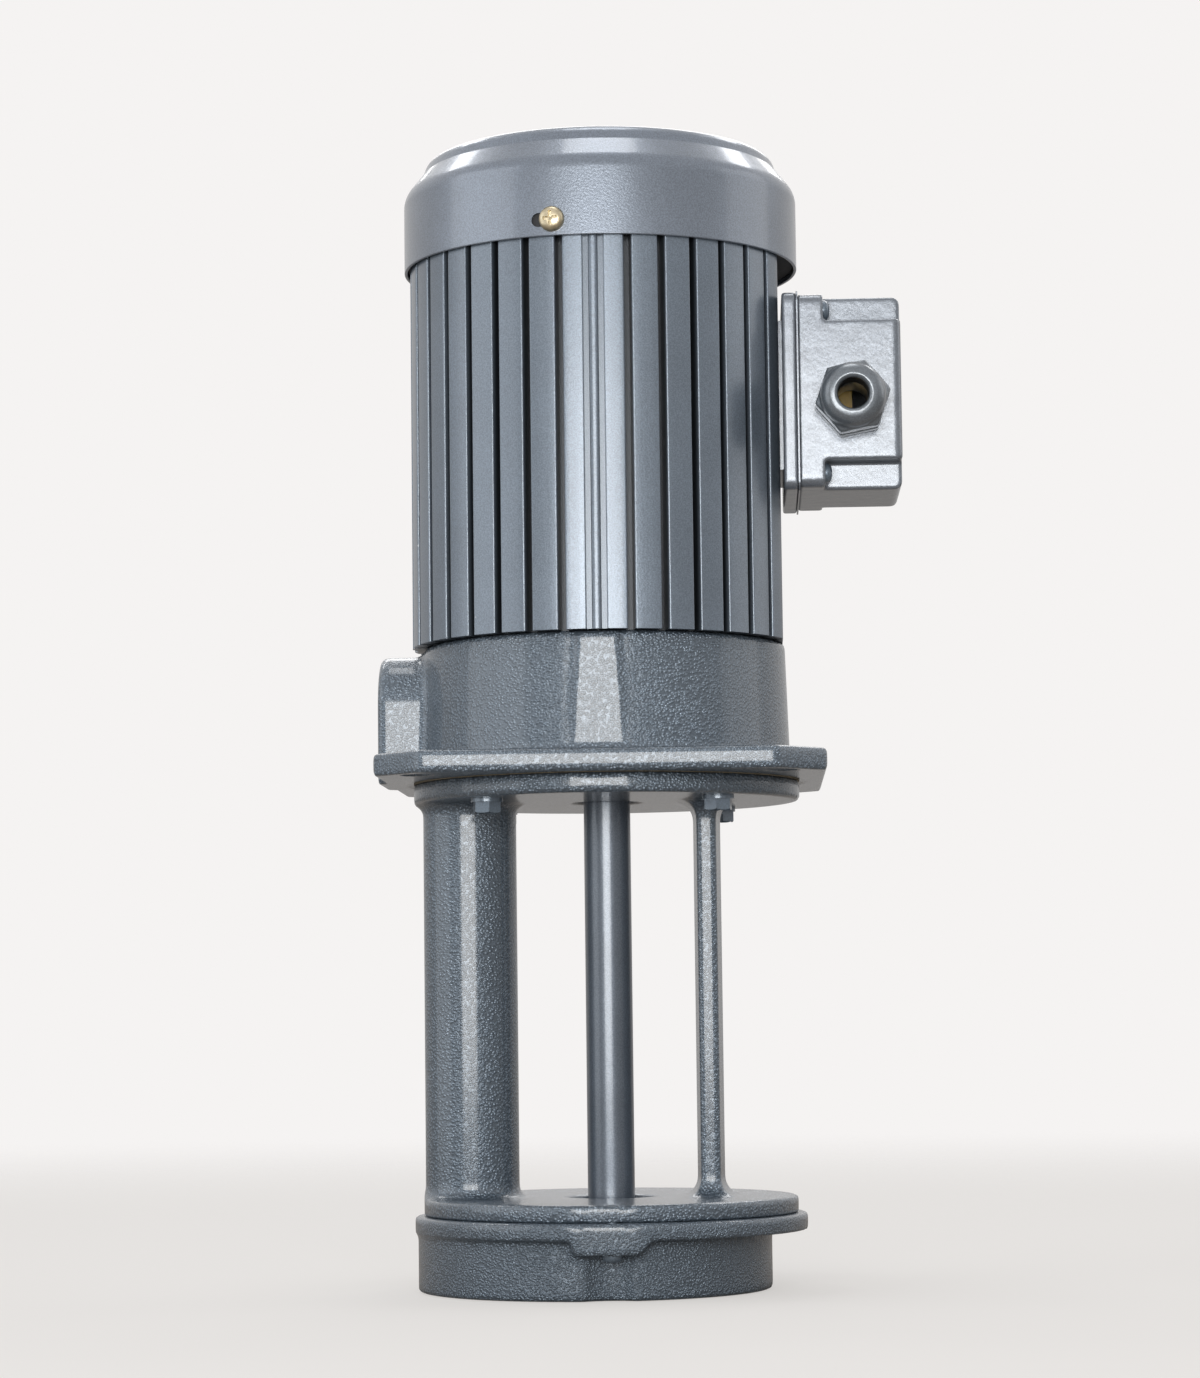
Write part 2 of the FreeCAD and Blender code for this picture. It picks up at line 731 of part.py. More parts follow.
# Extruded motor housing with its fins
def motor_housing():
    body = piece("motor_housing")
    tube = sketch_on(body, "housing_circles", "XY_Plane", offset="bracket_height")
    circle(tube, "fin_radius")
    circle(tube, "housing_bore")
    pad(body, "shell", tube, "housing_length")
    depth = "(fin_radius - root_radius)"
    for quarter in range(4):
        turn = 90.0 * quarter + FIN_PITCH
        groove = sketch_on(body, f"groove_{quarter}", "XY_Plane", offset="housing_top", turn=turn)
        far = "(fin_radius + overcut)"
        outline(groove, [("root_radius", "-groove_width / 2"), (far, "-groove_width / 2"),
                         (far, "groove_width / 2"), ("root_radius", "groove_width / 2")])
        first = pocket(body, f"first_groove_{quarter}", groove, "housing_length")
        around(body, f"grooves_{quarter}", first, GROOVES_PER_QUARTER,
               FIN_PITCH * (GROOVES_PER_QUARTER - 1))
    flat = sketch_on(body, "pad_outline", "XY_Plane", offset="housing_top")
    wide = "(fin_radius + overcut)"
    outline(flat, [("pad_offset", f"-{wide}"), (wide, f"-{wide}"), (wide, wide), ("pad_offset", wide)])
    pocket(body, "terminal_pad", flat, "housing_length")
    floor = "(fin_radius - channel_depth)"
    for name, turn in (("back", 90.0), ("side", 180.0), ("front", 270.0)):
        channel = sketch_on(body, f"{name}_channel", "XY_Plane", offset="housing_top", turn=turn)
        outline(channel, [(floor, "-channel_width / 2"), (wide, "-channel_width / 2"),
                          (wide, "channel_width / 2"), (floor, "channel_width / 2")])
        pocket(body, f"{name}_channel_cut", channel, "housing_length")
        bead = sketch_on(body, f"{name}_bead", "XY_Plane", offset="bracket_height", turn=turn)
        circle(bead, "bead_radius", floor)
        pad(body, f"{name}_bead_rod", bead, "housing_length")
    hole = sketch_on(body, "bolt_way_circle", "XY_Plane", offset="housing_top")
    circle(hole, "through_bolt_radius + hole_gap", "through_bolt_circle")
    first = pocket(body, "bolt_way", hole, "housing_length")
    around(body, "bolt_ways", first, 4)
    window = sketch_on(body, "window_circle", "YZ_Plane", offset="pad_offset")
    circle(window, "window_radius", "0", "box_level")
    pocket(body, "lead_window", window, "pad_offset - housing_bore + overcut")
    for side in ("", "-"):
        screw = sketch_on(body, f"base_hole{len(side)}", "YZ_Plane", offset="pad_offset")
        circle(screw, "box_screw_radius + fit_gap", "base_screw_side",
               f"box_level + ({side}base_screw_spread / 2)")
        pocket(body, f"base_hole_cut{len(side)}", screw, "base_screw_grip + thread_relief")


# Upper end shield: carries the upper bearing, the through bolts and the fan cover
def upper_end_shield():
    body = piece("upper_end_shield")
    bore = "(upper_bearing_outer_radius + fit_gap)"
    hub = f"({bore} + shield_hub_wall)"
    spigot = "(housing_bore - fit_gap)"
    turned(body, "shield", [
        (bore, "upper_bearing_level - shield_hub_drop"),
        (hub, "upper_bearing_level - shield_hub_drop"), (hub, "housing_top"),
        (f"{spigot} - spigot_wall", "housing_top"),
        (f"{spigot} - spigot_wall", "housing_top - spigot_height"),
        (spigot, "housing_top - spigot_height"), (spigot, "housing_top"),
        ("rim_radius", "housing_top"), ("rim_radius", "rim_top"),
        ("rim_radius - shield_rim_wall", "rim_top"), ("rim_radius - shield_rim_wall", "web_top"),
        (hub, "web_top"), (hub, "lid_top"), ("fan_seat_radius + shaft_clearance", "lid_top"),
        ("fan_seat_radius + shaft_clearance", "shield_bore_top"), (bore, "shield_bore_top")])
    hole = sketch_on(body, "shield_bolt_circle", "XY_Plane", offset="web_top", turn=-SCREW_TURN)
    circle(hole, "through_bolt_radius + hole_gap", "through_bolt_circle")
    first = pocket(body, "shield_bolt_hole", hole, "shield_web")
    around(body, "shield_bolt_holes", first, 4)
    screw = sketch_on(body, "rim_screw_circle", "XZ_Plane", offset="rim_radius", turn=0)
    circle(screw, "cover_screw_radius + fit_gap", "0", "screw_level")
    first = pocket(body, "rim_screw_hole", screw, "shield_rim_wall")
    around(body, "rim_screw_holes", first, COVER_SCREWS)
    body.Placement = turned_by(SCREW_TURN)


def turned_by(angle):
    """A placement that only turns about the shaft axis."""
    return FreeCAD.Placement(FreeCAD.Vector(), FreeCAD.Rotation(FreeCAD.Vector(0, 0, 1), angle))


# Pressed fan cover with its crown, slots and air intake
def fan_cover():
    body = piece("fan_cover")
    inner = "(cover_radius - cover_sheet)"
    lip = "(shoulder_radius - cover_sheet)"
    turned(body, "cap", [
        ("cover_radius", "cover_foot"), ("cover_radius", "wall_top"),
        ("shoulder_radius", "shoulder_top"), ("shoulder_radius - crown_taper", "crown_top"),
        ("0", "crown_top"), ("0", "crown_top - cover_sheet"),
        (f"{lip} - crown_taper", "crown_top - cover_sheet"), (lip, "shoulder_top - cover_sheet / 2"),
        (inner, "wall_top - cover_sheet / 2"), (inner, "cover_foot")])
    soften(body, "shoulder_edge", "shoulder_round", ring_edge("cover_radius", "wall_top"))
    soften(body, "crown_edge", "crown_round", ring_edge("shoulder_radius - crown_taper", "crown_top"))
    soften(body, "crown_inside", "crown_round - cover_sheet",
           ring_edge(f"{lip} - crown_taper", "crown_top - cover_sheet"))
    soften(body, "step_edge", "step_round", ring_edge("shoulder_radius", "shoulder_top"))
    slot = sketch_on(body, "slot_outline", "XZ_Plane", offset="cover_radius + overcut")
    half = "(slot_height / 2)"
    left = "(-slot_shift - slot_length / 2)"
    right = "(slot_length / 2 - slot_shift)"
    bevel = "slot_bevel"
    outline(slot, [
        (f"{left} + {bevel}", f"screw_level - {half}"), (f"{right} - {bevel}", f"screw_level - {half}"),
        (right, f"screw_level - {half} + {bevel}"), (right, f"screw_level + {half} - {bevel}"),
        (f"{right} - {bevel}", f"screw_level + {half}"), (f"{left} + {bevel}", f"screw_level + {half}"),
        (left, f"screw_level + {half} - {bevel}"), (left, f"screw_level - {half} + {bevel}")])
    first = pocket(body, "slot", slot, "2 * cover_sheet + overcut")
    around(body, "slots", first, COVER_SCREWS)
    vent = sketch_on(body, "vent_outline", "XY_Plane", offset="crown_top")
    outline(vent, [("intake_inner", "-intake_width / 3"), ("intake_outer", "-intake_width / 2"),
                   ("intake_outer", "intake_width / 2"), ("intake_inner", "intake_width / 3")])
    first = pocket(body, "vent", vent, "cover_sheet")
    around(body, "vents", first, COVER_VENTS)
    body.Placement = turned_by(SCREW_TURN)


def fan_cover_screws():
    master = round_screw("cover_screw_pattern", "pan_head_radius", "pan_head_height",
                         "cover_screw_radius",
                         "cover_radius - rim_radius + shield_rim_wall - pan_end_gap")
    places = []
    for i in range(COVER_SCREWS):
        angle = SCREW_TURN - 90 + 360 / COVER_SCREWS * i
        facing = (math.cos(math.radians(angle)), math.sin(math.radians(angle)), 0)
        places.append((f"(cover_radius + fit_gap) * cos({angle})",
                       f"(cover_radius + fit_gap) * sin({angle})", "screw_level", facing))
    copies_of("fan_cover_screws", master, places)


def cooling_fan():
    body = piece("cooling_fan")
    turned(body, "fan_hub", [
        ("fan_bore", "fan_level"), ("fan_radius - blade_step", "fan_level"),
        ("fan_radius - blade_step", "fan_level + fan_disc"),
        ("fan_hub_radius", "fan_level + fan_disc"),
        ("fan_hub_radius", "fan_top"), ("fan_bore", "fan_top")])
    blade = sketch_on(body, "blade_outline", "XZ_Plane", offset="-blade_thick / 2")
    top = "fan_level + fan_disc + blade_height"
    outline(blade, [("fan_hub_radius - joint_sink", "fan_level"),
                    ("fan_radius - blade_step", "fan_level"),
                    ("fan_radius", "fan_level + fan_disc"), ("fan_radius", f"{top} - blade_corner"),
                    ("fan_radius - blade_corner", top),
                    ("fan_hub_radius - joint_sink", "fan_top - blade_drop")])
    first = pad(body, "blade", blade, "blade_thick")
    around(body, "blades", first, FAN_BLADES)


def fan_circlip():
    body = piece("fan_circlip")
    turned(body, "clip", [
        ("fan_seat_radius - circlip_depth + fit_gap", "fan_top"),
        ("fan_seat_radius + circlip_reach", "fan_top"),
        ("fan_seat_radius + circlip_reach", "fan_top + circlip_thick - fit_gap"),
        ("fan_seat_radius - circlip_depth + fit_gap", "fan_top + circlip_thick - fit_gap")],
           CLIP_ANGLE)


def through_bolts():
    master = round_screw("through_bolt_pattern", "through_head_radius", "through_head_height",
                         "through_bolt_radius", "web_top - bracket_height + through_thread")
    places = []
    for angle in (0, 90, 180, 270):
        places.append((f"through_bolt_circle * cos({angle})", f"through_bolt_circle * sin({angle})",
                       "web_top", (0, 0, 1)))
    copies_of("through_bolts", master, places)


# Deep-groove ball bearings
def bearing(name, level, width, bore, outer, ball):
    pitch = f"((({bore}) + ({outer})) / 2)"
    middle = f"(({level}) + ({width}) / 2)"
    top = f"(({level}) + ({width}))"
    track = f"(({ball}) + fit_gap)"
    inner_land = f"({pitch} - race_land)"
    outer_land = f"({pitch} + race_land)"
    for part, low, high in (("inner", f"(({bore}) + fit_gap)", inner_land),
                            ("outer", outer_land, outer)):
        race = piece(f"{name}_bearing_{part}")
        turned(race, f"{name}_{part}_ring", [(low, level), (high, level), (high, top), (low, top)])
        sketch = sketch_on(race, f"{name}_{part}_track", "XZ_Plane")
        circle(sketch, track, pitch, middle)
        revolve(race, f"{name}_{part}_raceway", sketch, "PartDesign::Groove")
    cage = piece(f"{name}_bearing_cage")
    thin = f"(({ball}) * {CAGE_SHARE})"
    turned(cage, f"{name}_cage_ring", [
        (f"{pitch} - cage_half_wall", f"{middle} - {thin}"),
        (f"{pitch} + cage_half_wall", f"{middle} - {thin}"),
        (f"{pitch} + cage_half_wall", f"{middle} + {thin}"),
        (f"{pitch} - cage_half_wall", f"{middle} + {thin}")])
    sketch = sketch_on(cage, f"{name}_ball_outline", "XZ_Plane", side=pitch)
    outline(sketch, ball_outline(ball, middle))
    first = revolve(cage, f"{name}_ball", sketch)
    around(cage, f"{name}_balls", first, BALLS)


def ball_outline(radius, level):
    """Half a ball's outline with few sides, inside its true radius."""
    angles = [-90 + 180 * i / BALL_STEPS for i in range(BALL_STEPS + 1)]
    return [(f"({radius}) * cos({a})" if abs(a) < 90 else "0",
             f"({level}) + ({radius}) * sin({a})") for a in angles]


# Wave spring: a flat ring bent into three waves, so its edges are wavy closed curves
def wave_spring():
    spring = doc.addObject("Part::Feature", "wave_spring")
    spring.Label = "wave_spring"
    thick = number("spring_thick")
    swing = number("(spring_space - spring_thick) / 2 - spring_clearance")
    middle = number("upper_bearing_top") + number("spring_space") / 2 - thick / 2
    edges = []
    outer = number("upper_bearing_outer_radius - spring_inset")
    for radius in (outer - number("spring_width"), outer):
        points = []
        for i in range(WAVE_POINTS):
            angle = 2 * math.pi * i / WAVE_POINTS
            height = middle + swing * math.cos(WAVES * angle)
            points.append(FreeCAD.Vector(radius * math.cos(angle), radius * math.sin(angle), height))
        curve = Part.BSplineCurve()
        curve.interpolate(points, PeriodicFlag=True)
        edges.append(curve.toShape())
    band = Part.makeRuledSurface(edges[0], edges[1])
    spring.Shape = band.extrude(FreeCAD.Vector(0, 0, thick))
    spring.Placement = FreeCAD.Placement()
    pieces["wave_spring"] = spring


def bearing_circlip():
    body = piece("bearing_circlip")
    bore = "(lower_bearing_outer_radius + fit_gap)"
    turned(body, "inner_clip", [
        (f"{bore} - circlip_reach", "lower_bearing_top"),
        (f"{bore} + circlip_depth - fit_gap", "lower_bearing_top"),
        (f"{bore} + circlip_depth - fit_gap", "lower_bearing_top + circlip_thick"),
        (f"{bore} - circlip_reach", "lower_bearing_top + circlip_thick")], CLIP_ANGLE)


def oil_seal():
    body = piece("oil_seal")
    lip = "(shaft_radius + fit_gap)"
    sleeve = f"({lip} + seal_lip_wall)"
    turned(body, "seal", [
        (sleeve, "seal_offset"), ("seal_radius", "seal_offset"), ("seal_radius", "seal_top"),
        ("seal_radius - seal_skin", "seal_top"), ("seal_radius - seal_skin", "seal_offset + seal_skin"),
        (sleeve, "seal_offset + seal_skin"), (sleeve, "seal_offset + seal_lip_rise"),
        (lip, "seal_offset + seal_lip_rise"), (lip, "seal_offset + seal_skin")])


# Stator, rotor and shaft
def stator_core():
    body = piece("stator_core")
    ring = sketch_on(body, "lamination_circles", "XY_Plane", offset="core_level")
    circle(ring, "core_radius")
    circle(ring, "stator_bore")
    pad(body, "lamination_stack", ring, "core_length")
    slot = sketch_on(body, "core_slot_outline", "XY_Plane", offset="core_top")
    half = "stator_slot_width / 2"
    mouth = "stator_mouth_width / 2"
    start = "(stator_bore + slot_lip)"
    outline(slot, [
        ("stator_bore - overcut", f"-{mouth}"), (start, f"-{mouth}"), (start, f"-{half}"),
        ("slot_bottom", f"-{half}"), ("slot_bottom", half), (start, half), (start, mouth),
        ("stator_bore - overcut", mouth)])
    first = pocket(body, "core_slot", slot, "core_length")
    around(body, "core_slots", first, STATOR_SLOTS)


def stator_winding():
    body = piece("stator_winding")
    for name, low in (("lower", "core_level - winding_head"), ("upper", "core_top + running_gap")):
        head = "(winding_head - running_gap)"
        turned(body, f"{name}_winding_head", [
            ("winding_inner", low), ("winding_outer", low), ("winding_outer", f"{low} + {head}"),
            ("winding_inner", f"{low} + {head}")])
        if name == "lower":
            bar = sketch_on(body, "bar_outline", "XY_Plane", offset="core_level - joint_sink")
            half = "(stator_slot_width / 2 - fit_gap)"
            low_r = "(stator_bore + slot_lip + fit_gap)"
            high_r = "(slot_bottom - fit_gap)"
            outline(bar, [(low_r, f"-{half}"), (high_r, f"-{half}"), (high_r, half), (low_r, half)])
            first = pad(body, "slot_bar", bar, "core_length + 2 * joint_sink")
            around(body, "slot_bars", first, STATOR_SLOTS)


def rotor_core():
    body = piece("rotor_core")
    bore = "(core_seat_radius + fit_gap)"
    turned(body, "rotor_stack", [
        (bore, "core_level"), ("rotor_radius", "core_level"),
        ("rotor_radius", "core_top"), (bore, "core_top")])


def rotor_end_rings():
    links = []
    for name, low in (("lower", "core_level - end_ring_height"), ("upper", "core_top")):
        ring = pattern_body(f"{name}_end_ring")
        turned(ring, f"{name}_ring_shape", [
            ("end_ring_inner", low), ("rotor_radius - end_ring_step", low),
            ("rotor_radius - end_ring_step", f"{low} + end_ring_height"),
            ("end_ring_inner", f"{low} + end_ring_height")])
        links.append(ring)
    group = doc.addObject("Part::Compound", "rotor_end_rings")
    group.Label = "rotor_end_rings"
    group.Links = links
    pieces["rotor_end_rings"] = group


def motor_shaft():
    body = piece("motor_shaft")
    clip = "(fan_seat_radius - circlip_depth)"
    tip = "(fan_top + circlip_thick + fan_seat_end)"
    turned(body, "shaft", [
        ("0", "nut_bottom - thread_end"), ("thread_radius", "nut_bottom - thread_end"),
        ("thread_radius", "impeller_bottom + seat_relief"),
        ("impeller_seat_radius", "impeller_bottom + seat_relief"),
        ("impeller_seat_radius", "neck_top"), ("shaft_radius", "neck_top"),
        ("shaft_radius", "lower_bearing_level - shoulder_length"),
        ("lower_seat_radius", "lower_bearing_level - shoulder_length"),
        ("lower_seat_radius", "lower_bearing_top"),
        ("core_seat_radius", "lower_bearing_top"), ("core_seat_radius", "upper_bearing_level"),
        ("upper_seat_radius", "upper_bearing_level"), ("upper_seat_radius", "upper_bearing_top"),
        ("fan_seat_radius", "upper_bearing_top"), ("fan_seat_radius", "fan_top"),
        (clip, "fan_top"), (clip, "fan_top + circlip_thick"),
        ("fan_seat_radius", "fan_top + circlip_thick"), ("fan_seat_radius", tip), ("0", tip)])
    keyway = sketch_on(body, "keyway_outline", "XY_Plane", offset="key_top")
    outline(keyway, key_outline("fit_gap"))
    pocket(body, "keyway", keyway, "key_length + fit_gap")


def key_outline(gap):
    """The key seen along the shaft, on its -Y side, with a gap all round."""
    half = f"(key_width / 2 + {gap})"
    inner = f"-(impeller_seat_radius - key_sink - {gap})"
    outer = f"-(impeller_seat_radius - key_sink + key_height + {gap})"
    return [(f"-{half}", outer), (half, outer), (half, inner), (f"-{half}", inner)]


# Impeller with backward-curved vanes, its key, washer and nut
def impeller():
    body = piece("impeller")
    bore = "(impeller_seat_radius + fit_gap)"
    turned(body, "impeller_hub", [
        (bore, "impeller_bottom"), ("impeller_hub_radius", "impeller_bottom"),
        ("impeller_hub_radius", "plate_bottom"), ("impeller_radius", "plate_bottom"),
        ("impeller_radius", "plate_top"), ("neck_radius", "plate_top"),
        ("neck_radius", "neck_top"), (bore, "neck_top")])
    vane = sketch_on(body, "vane_outline", "XY_Plane", offset="plate_top - impeller_plate / 2")
    curved_vane(vane)
    first = pad(body, "vane", vane, "plate_top - impeller_plate / 2 - vane_bottom", backwards=True)
    around(body, "vanes", first, VANES)
    keyway = sketch_on(body, "hub_keyway_outline", "XY_Plane", offset="neck_top")
    outline(keyway, key_outline("fit_gap"))
    pocket(body, "hub_keyway", keyway, "neck_top - impeller_bottom")


def curved_vane(sketch):
    """A crescent between two arcs about one centre, from the eye to the rim.
    The centre lies so that the middle arc passes the inner and the outer radius."""
    inner, outer = number("vane_inner"), number("impeller_radius - vane_inset")
    bend, thick = number("vane_bend"), number("vane_thick")
    start = FreeCAD.Vector(inner, 0, 0)
    sweep = math.radians(VANE_SWEEP)
    end = FreeCAD.Vector(outer * math.cos(sweep), outer * math.sin(sweep), 0)
    chord = end - start
    middle = start + chord * 0.5
    normal = FreeCAD.Vector(-chord.y, chord.x, 0).normalize()
    rise = math.sqrt(bend ** 2 - (chord.Length / 2) ** 2)
    centre = middle + normal * rise
    first_angle = math.atan2(start.y - centre.y, start.x - centre.x)
    last_angle = math.atan2(end.y - centre.y, end.x - centre.x)
    low, high = sorted((first_angle, last_angle))
    axis = FreeCAD.Vector(0, 0, 1)
    radii = (bend - thick / 2, bend + thick / 2)
    ends = []
    for radius in radii:
        rim = Part.Circle(centre, axis, radius)
        sketch.addGeometry(Part.ArcOfCircle(rim, low, high))
        ends.append([centre + FreeCAD.Vector(radius * math.cos(a), radius * math.sin(a), 0)
                     for a in (low, high)])
    for i in range(2):
        sketch.addGeometry(Part.LineSegment(ends[0][i], ends[1][i]))
    for geometry in range(4):
        sketch.addConstraint(Sketcher.Constraint("Block", geometry))


def impeller_key():
    body = piece("impeller_key")
    sketch = sketch_on(body, "key_shape", "XY_Plane", offset="key_top - fit_gap")
    outline(sketch, key_outline("0"))
    pad(body, "key", sketch, "key_length - fit_gap", backwards=True)


def impeller_washer():
    body = piece("impeller_washer")
    turned(body, "washer", [
        ("thread_radius + fit_gap", "washer_bottom"), ("washer_radius", "washer_bottom"),
        ("washer_radius", "impeller_bottom"), ("thread_radius + fit_gap", "impeller_bottom")])


def impeller_nut():
    body = piece("impeller_nut")
    sketch = sketch_on(body, "nut_outline", "XY_Plane", offset="washer_bottom")
    hexagon(sketch, "nut_flats")
    circle(sketch, "thread_radius + fit_gap")
    pad(body, "nut", sketch, "nut_height", backwards=True)


# Column casting: top flange, discharge tube, rib and lower disc
def pump_column():
    body = piece("pump_column")
    turned(body, "top_flange", [
        ("shaft_hole_radius", "-column_flange_thick"), ("column_flange_radius", "-column_flange_thick"),
        ("column_flange_radius", "0"), ("shaft_hole_radius", "0")])
    tube = sketch_on(body, "tube_circle", "XY_Plane")
    circle(tube, "tube_radius", "-tube_offset")
    pad(body, "discharge_tube", tube, "column_depth", backwards=True)
    disc = sketch_on(body, "disc_circle", "XY_Plane", offset="-column_depth")
    circle(disc, "column_disc_radius")
    pad(body, "lower_disc", disc, "column_disc_thick")
    rib = sketch_on(body, "rib_outline", "XY_Plane", offset="-column_flange_thick / 2")
    edge, swell, deep = "rib_edge / 2", "rib_middle / 2", "rib_depth / 2"
    outline(rib, [
        (f"rib_offset - {edge}", f"-{deep}"), (f"rib_offset + {edge}", f"-{deep}"),
        (f"rib_offset + {swell}", "0"), (f"rib_offset + {edge}", deep),
        (f"rib_offset - {edge}", deep), (f"rib_offset - {swell}", "0")])
    pad(body, "rib", rib, "column_depth - column_flange_thick / 2 - joint_sink", backwards=True)
    high, low = number("-column_flange_thick"), number("disc_top")
    left = number("rib_offset - rib_middle / 2") - NEAR
    right = number("rib_offset + rib_middle / 2") + NEAR
    deep_y = number("rib_depth / 2") + NEAR

    def rib_end(edge):
        box = edge.BoundBox
        level = box.ZLength < NEAR and (abs(box.ZMin - high) < NEAR or abs(box.ZMin - low) < NEAR)
        beside = box.XMin > left and box.XMax < right
        return level and beside and box.YMin > -deep_y and box.YMax < deep_y
    soften(body, "rib_flares", "rib_flare", rib_end)
    for name, level, way in (("upper", "-column_flange_thick", "-"), ("lower", "disc_top", "")):
        profile = sketch_on(body, f"{name}_flare_outline", "XZ_Plane", side="-tube_offset")
        flare(profile, "tube_radius", "tube_flare", level, way)
        revolve(body, f"{name}_flare", profile)
    bored(body, "disc_trim", [
        ("column_disc_radius", "disc_top"), ("column_flange_radius + overcut", "disc_top"),
        ("column_flange_radius + overcut", "disc_top + tube_flare + overcut"),
        ("column_disc_radius", "disc_top + tube_flare + overcut")])
    throat = sketch_on(body, "throat_circle", "XY_Plane", offset="disc_top")
    circle(throat, "throat_radius")
    pocket(body, "throat", throat, "column_disc_thick")
    bore = sketch_on(body, "tube_bore_circle", "XY_Plane")
    circle(bore, "tube_bore", "-tube_offset")
    pocket(body, "tube_bore_cut", bore, "column_depth")
    bolt = sketch_on(body, "column_hole_circle", "XY_Plane", turn=COLUMN_TURN)
    circle(bolt, "column_bolt_radius + hole_gap", "column_bolt_circle")
    first = pocket(body, "column_hole", bolt, "column_flange_thick")
    around(body, "column_holes", first, 4)
    screw = sketch_on(body, "disc_screw_circle", "XY_Plane", offset="-column_depth", turn=LUG_TURN)
    for side in ("", "-"):
        circle(screw, "cover_screw_radius + fit_gap", "0", f"{side}cover_screw_circle")
    pocket(body, "disc_screw_holes", screw,
           "cover_screw_length - ring_thick - cover_lug_drop + thread_relief", backwards=True)


def flare(sketch, radius, size, level, way):
    """A concave quarter-round fillet ring between a tube and a flat."""
    r, f, z = number(radius), number(size), number(level)
    sign = -1 if way == "-" else 1
    far = f"({radius}) + ({size})"
    tall = f"({level}) {'-' if sign < 0 else '+'} ({size})"
    centre = FreeCAD.Vector(r + f, z + sign * f, 0)
    rim = Part.Circle(centre, FreeCAD.Vector(0, 0, 1), f)
    start, end = (math.pi / 2, math.pi) if sign < 0 else (math.pi, 1.5 * math.pi)
    first = sketch.addGeometry(Part.ArcOfCircle(rim, start, end))
    inner = f"({radius}) - joint_sink"
    corners = [(far, level), (inner, level), (inner, tall), (radius, tall)]
    points = [FreeCAD.Vector(number(a), number(b), 0) for a, b in corners]
    for i in range(3):
        sketch.addGeometry(Part.LineSegment(points[i], points[i + 1]))
    pin(sketch, first, 3, far, tall)
    at_flat, at_tube = (1, 2) if sign < 0 else (2, 1)
    sketch.addConstraint(Sketcher.Constraint("Coincident", first, at_flat, first + 1, 1))
    sketch.addConstraint(Sketcher.Constraint("Coincident", first + 1, 2, first + 2, 1))
    sketch.addConstraint(Sketcher.Constraint("Coincident", first + 2, 2, first + 3, 1))
    sketch.addConstraint(Sketcher.Constraint("Coincident", first + 3, 2, first, at_tube))
    pin(sketch, first + 1, 1, far, level)
    pin(sketch, first + 2, 1, inner, level)
    pin(sketch, first + 3, 1, inner, tall)
    pin(sketch, first + 3, 2, None, tall)


def column_gasket():
    body = piece("column_gasket")
    sketch = sketch_on(body, "gasket_circles", "XY_Plane")
    circle(sketch, "column_flange_radius")
    circle(sketch, "seal_radius + gasket_inset")
    circle(sketch, "tube_bore", "-tube_offset")
    pad(body, "gasket", sketch, "gasket_thick")
    bolt = sketch_on(body, "gasket_hole_circle", "XY_Plane", turn=COLUMN_TURN)
    circle(bolt, "column_bolt_radius + hole_gap", "column_bolt_circle")
    first = pocket(body, "gasket_hole", bolt, "gasket_thick", backwards=True)
    around(body, "gasket_holes", first, 4)


def column_bolts():
    length = "column_flange_thick + column_washer_thick + column_bolt_grip"
    bolt = hex_screw("column_bolt_pattern", "column_bolt_flats", "column_bolt_head",
                     "column_bolt_radius", length)
    washer = pattern_body("column_washer_pattern")
    turned(washer, "spring_washer", [
        ("column_bolt_radius + hole_gap", "-column_washer_thick"),
        ("column_washer_radius", "-column_washer_thick"), ("column_washer_radius", "0"),
        ("column_bolt_radius + hole_gap", "0")], SPLIT_WASHER_ANGLE)
    heads, rings = [], []
    for i in range(4):
        angle = COLUMN_TURN + 90 * i
        x, y = f"column_bolt_circle * cos({angle})", f"column_bolt_circle * sin({angle})"
        seat = "-column_flange_thick - column_washer_thick"
        heads.append((x, y, seat, (0, 0, -1)))
        rings.append((x, y, seat, (0, 0, -1)))
    copies_of("column_bolts", bolt, heads)
    copies_of("column_washers", washer, rings)


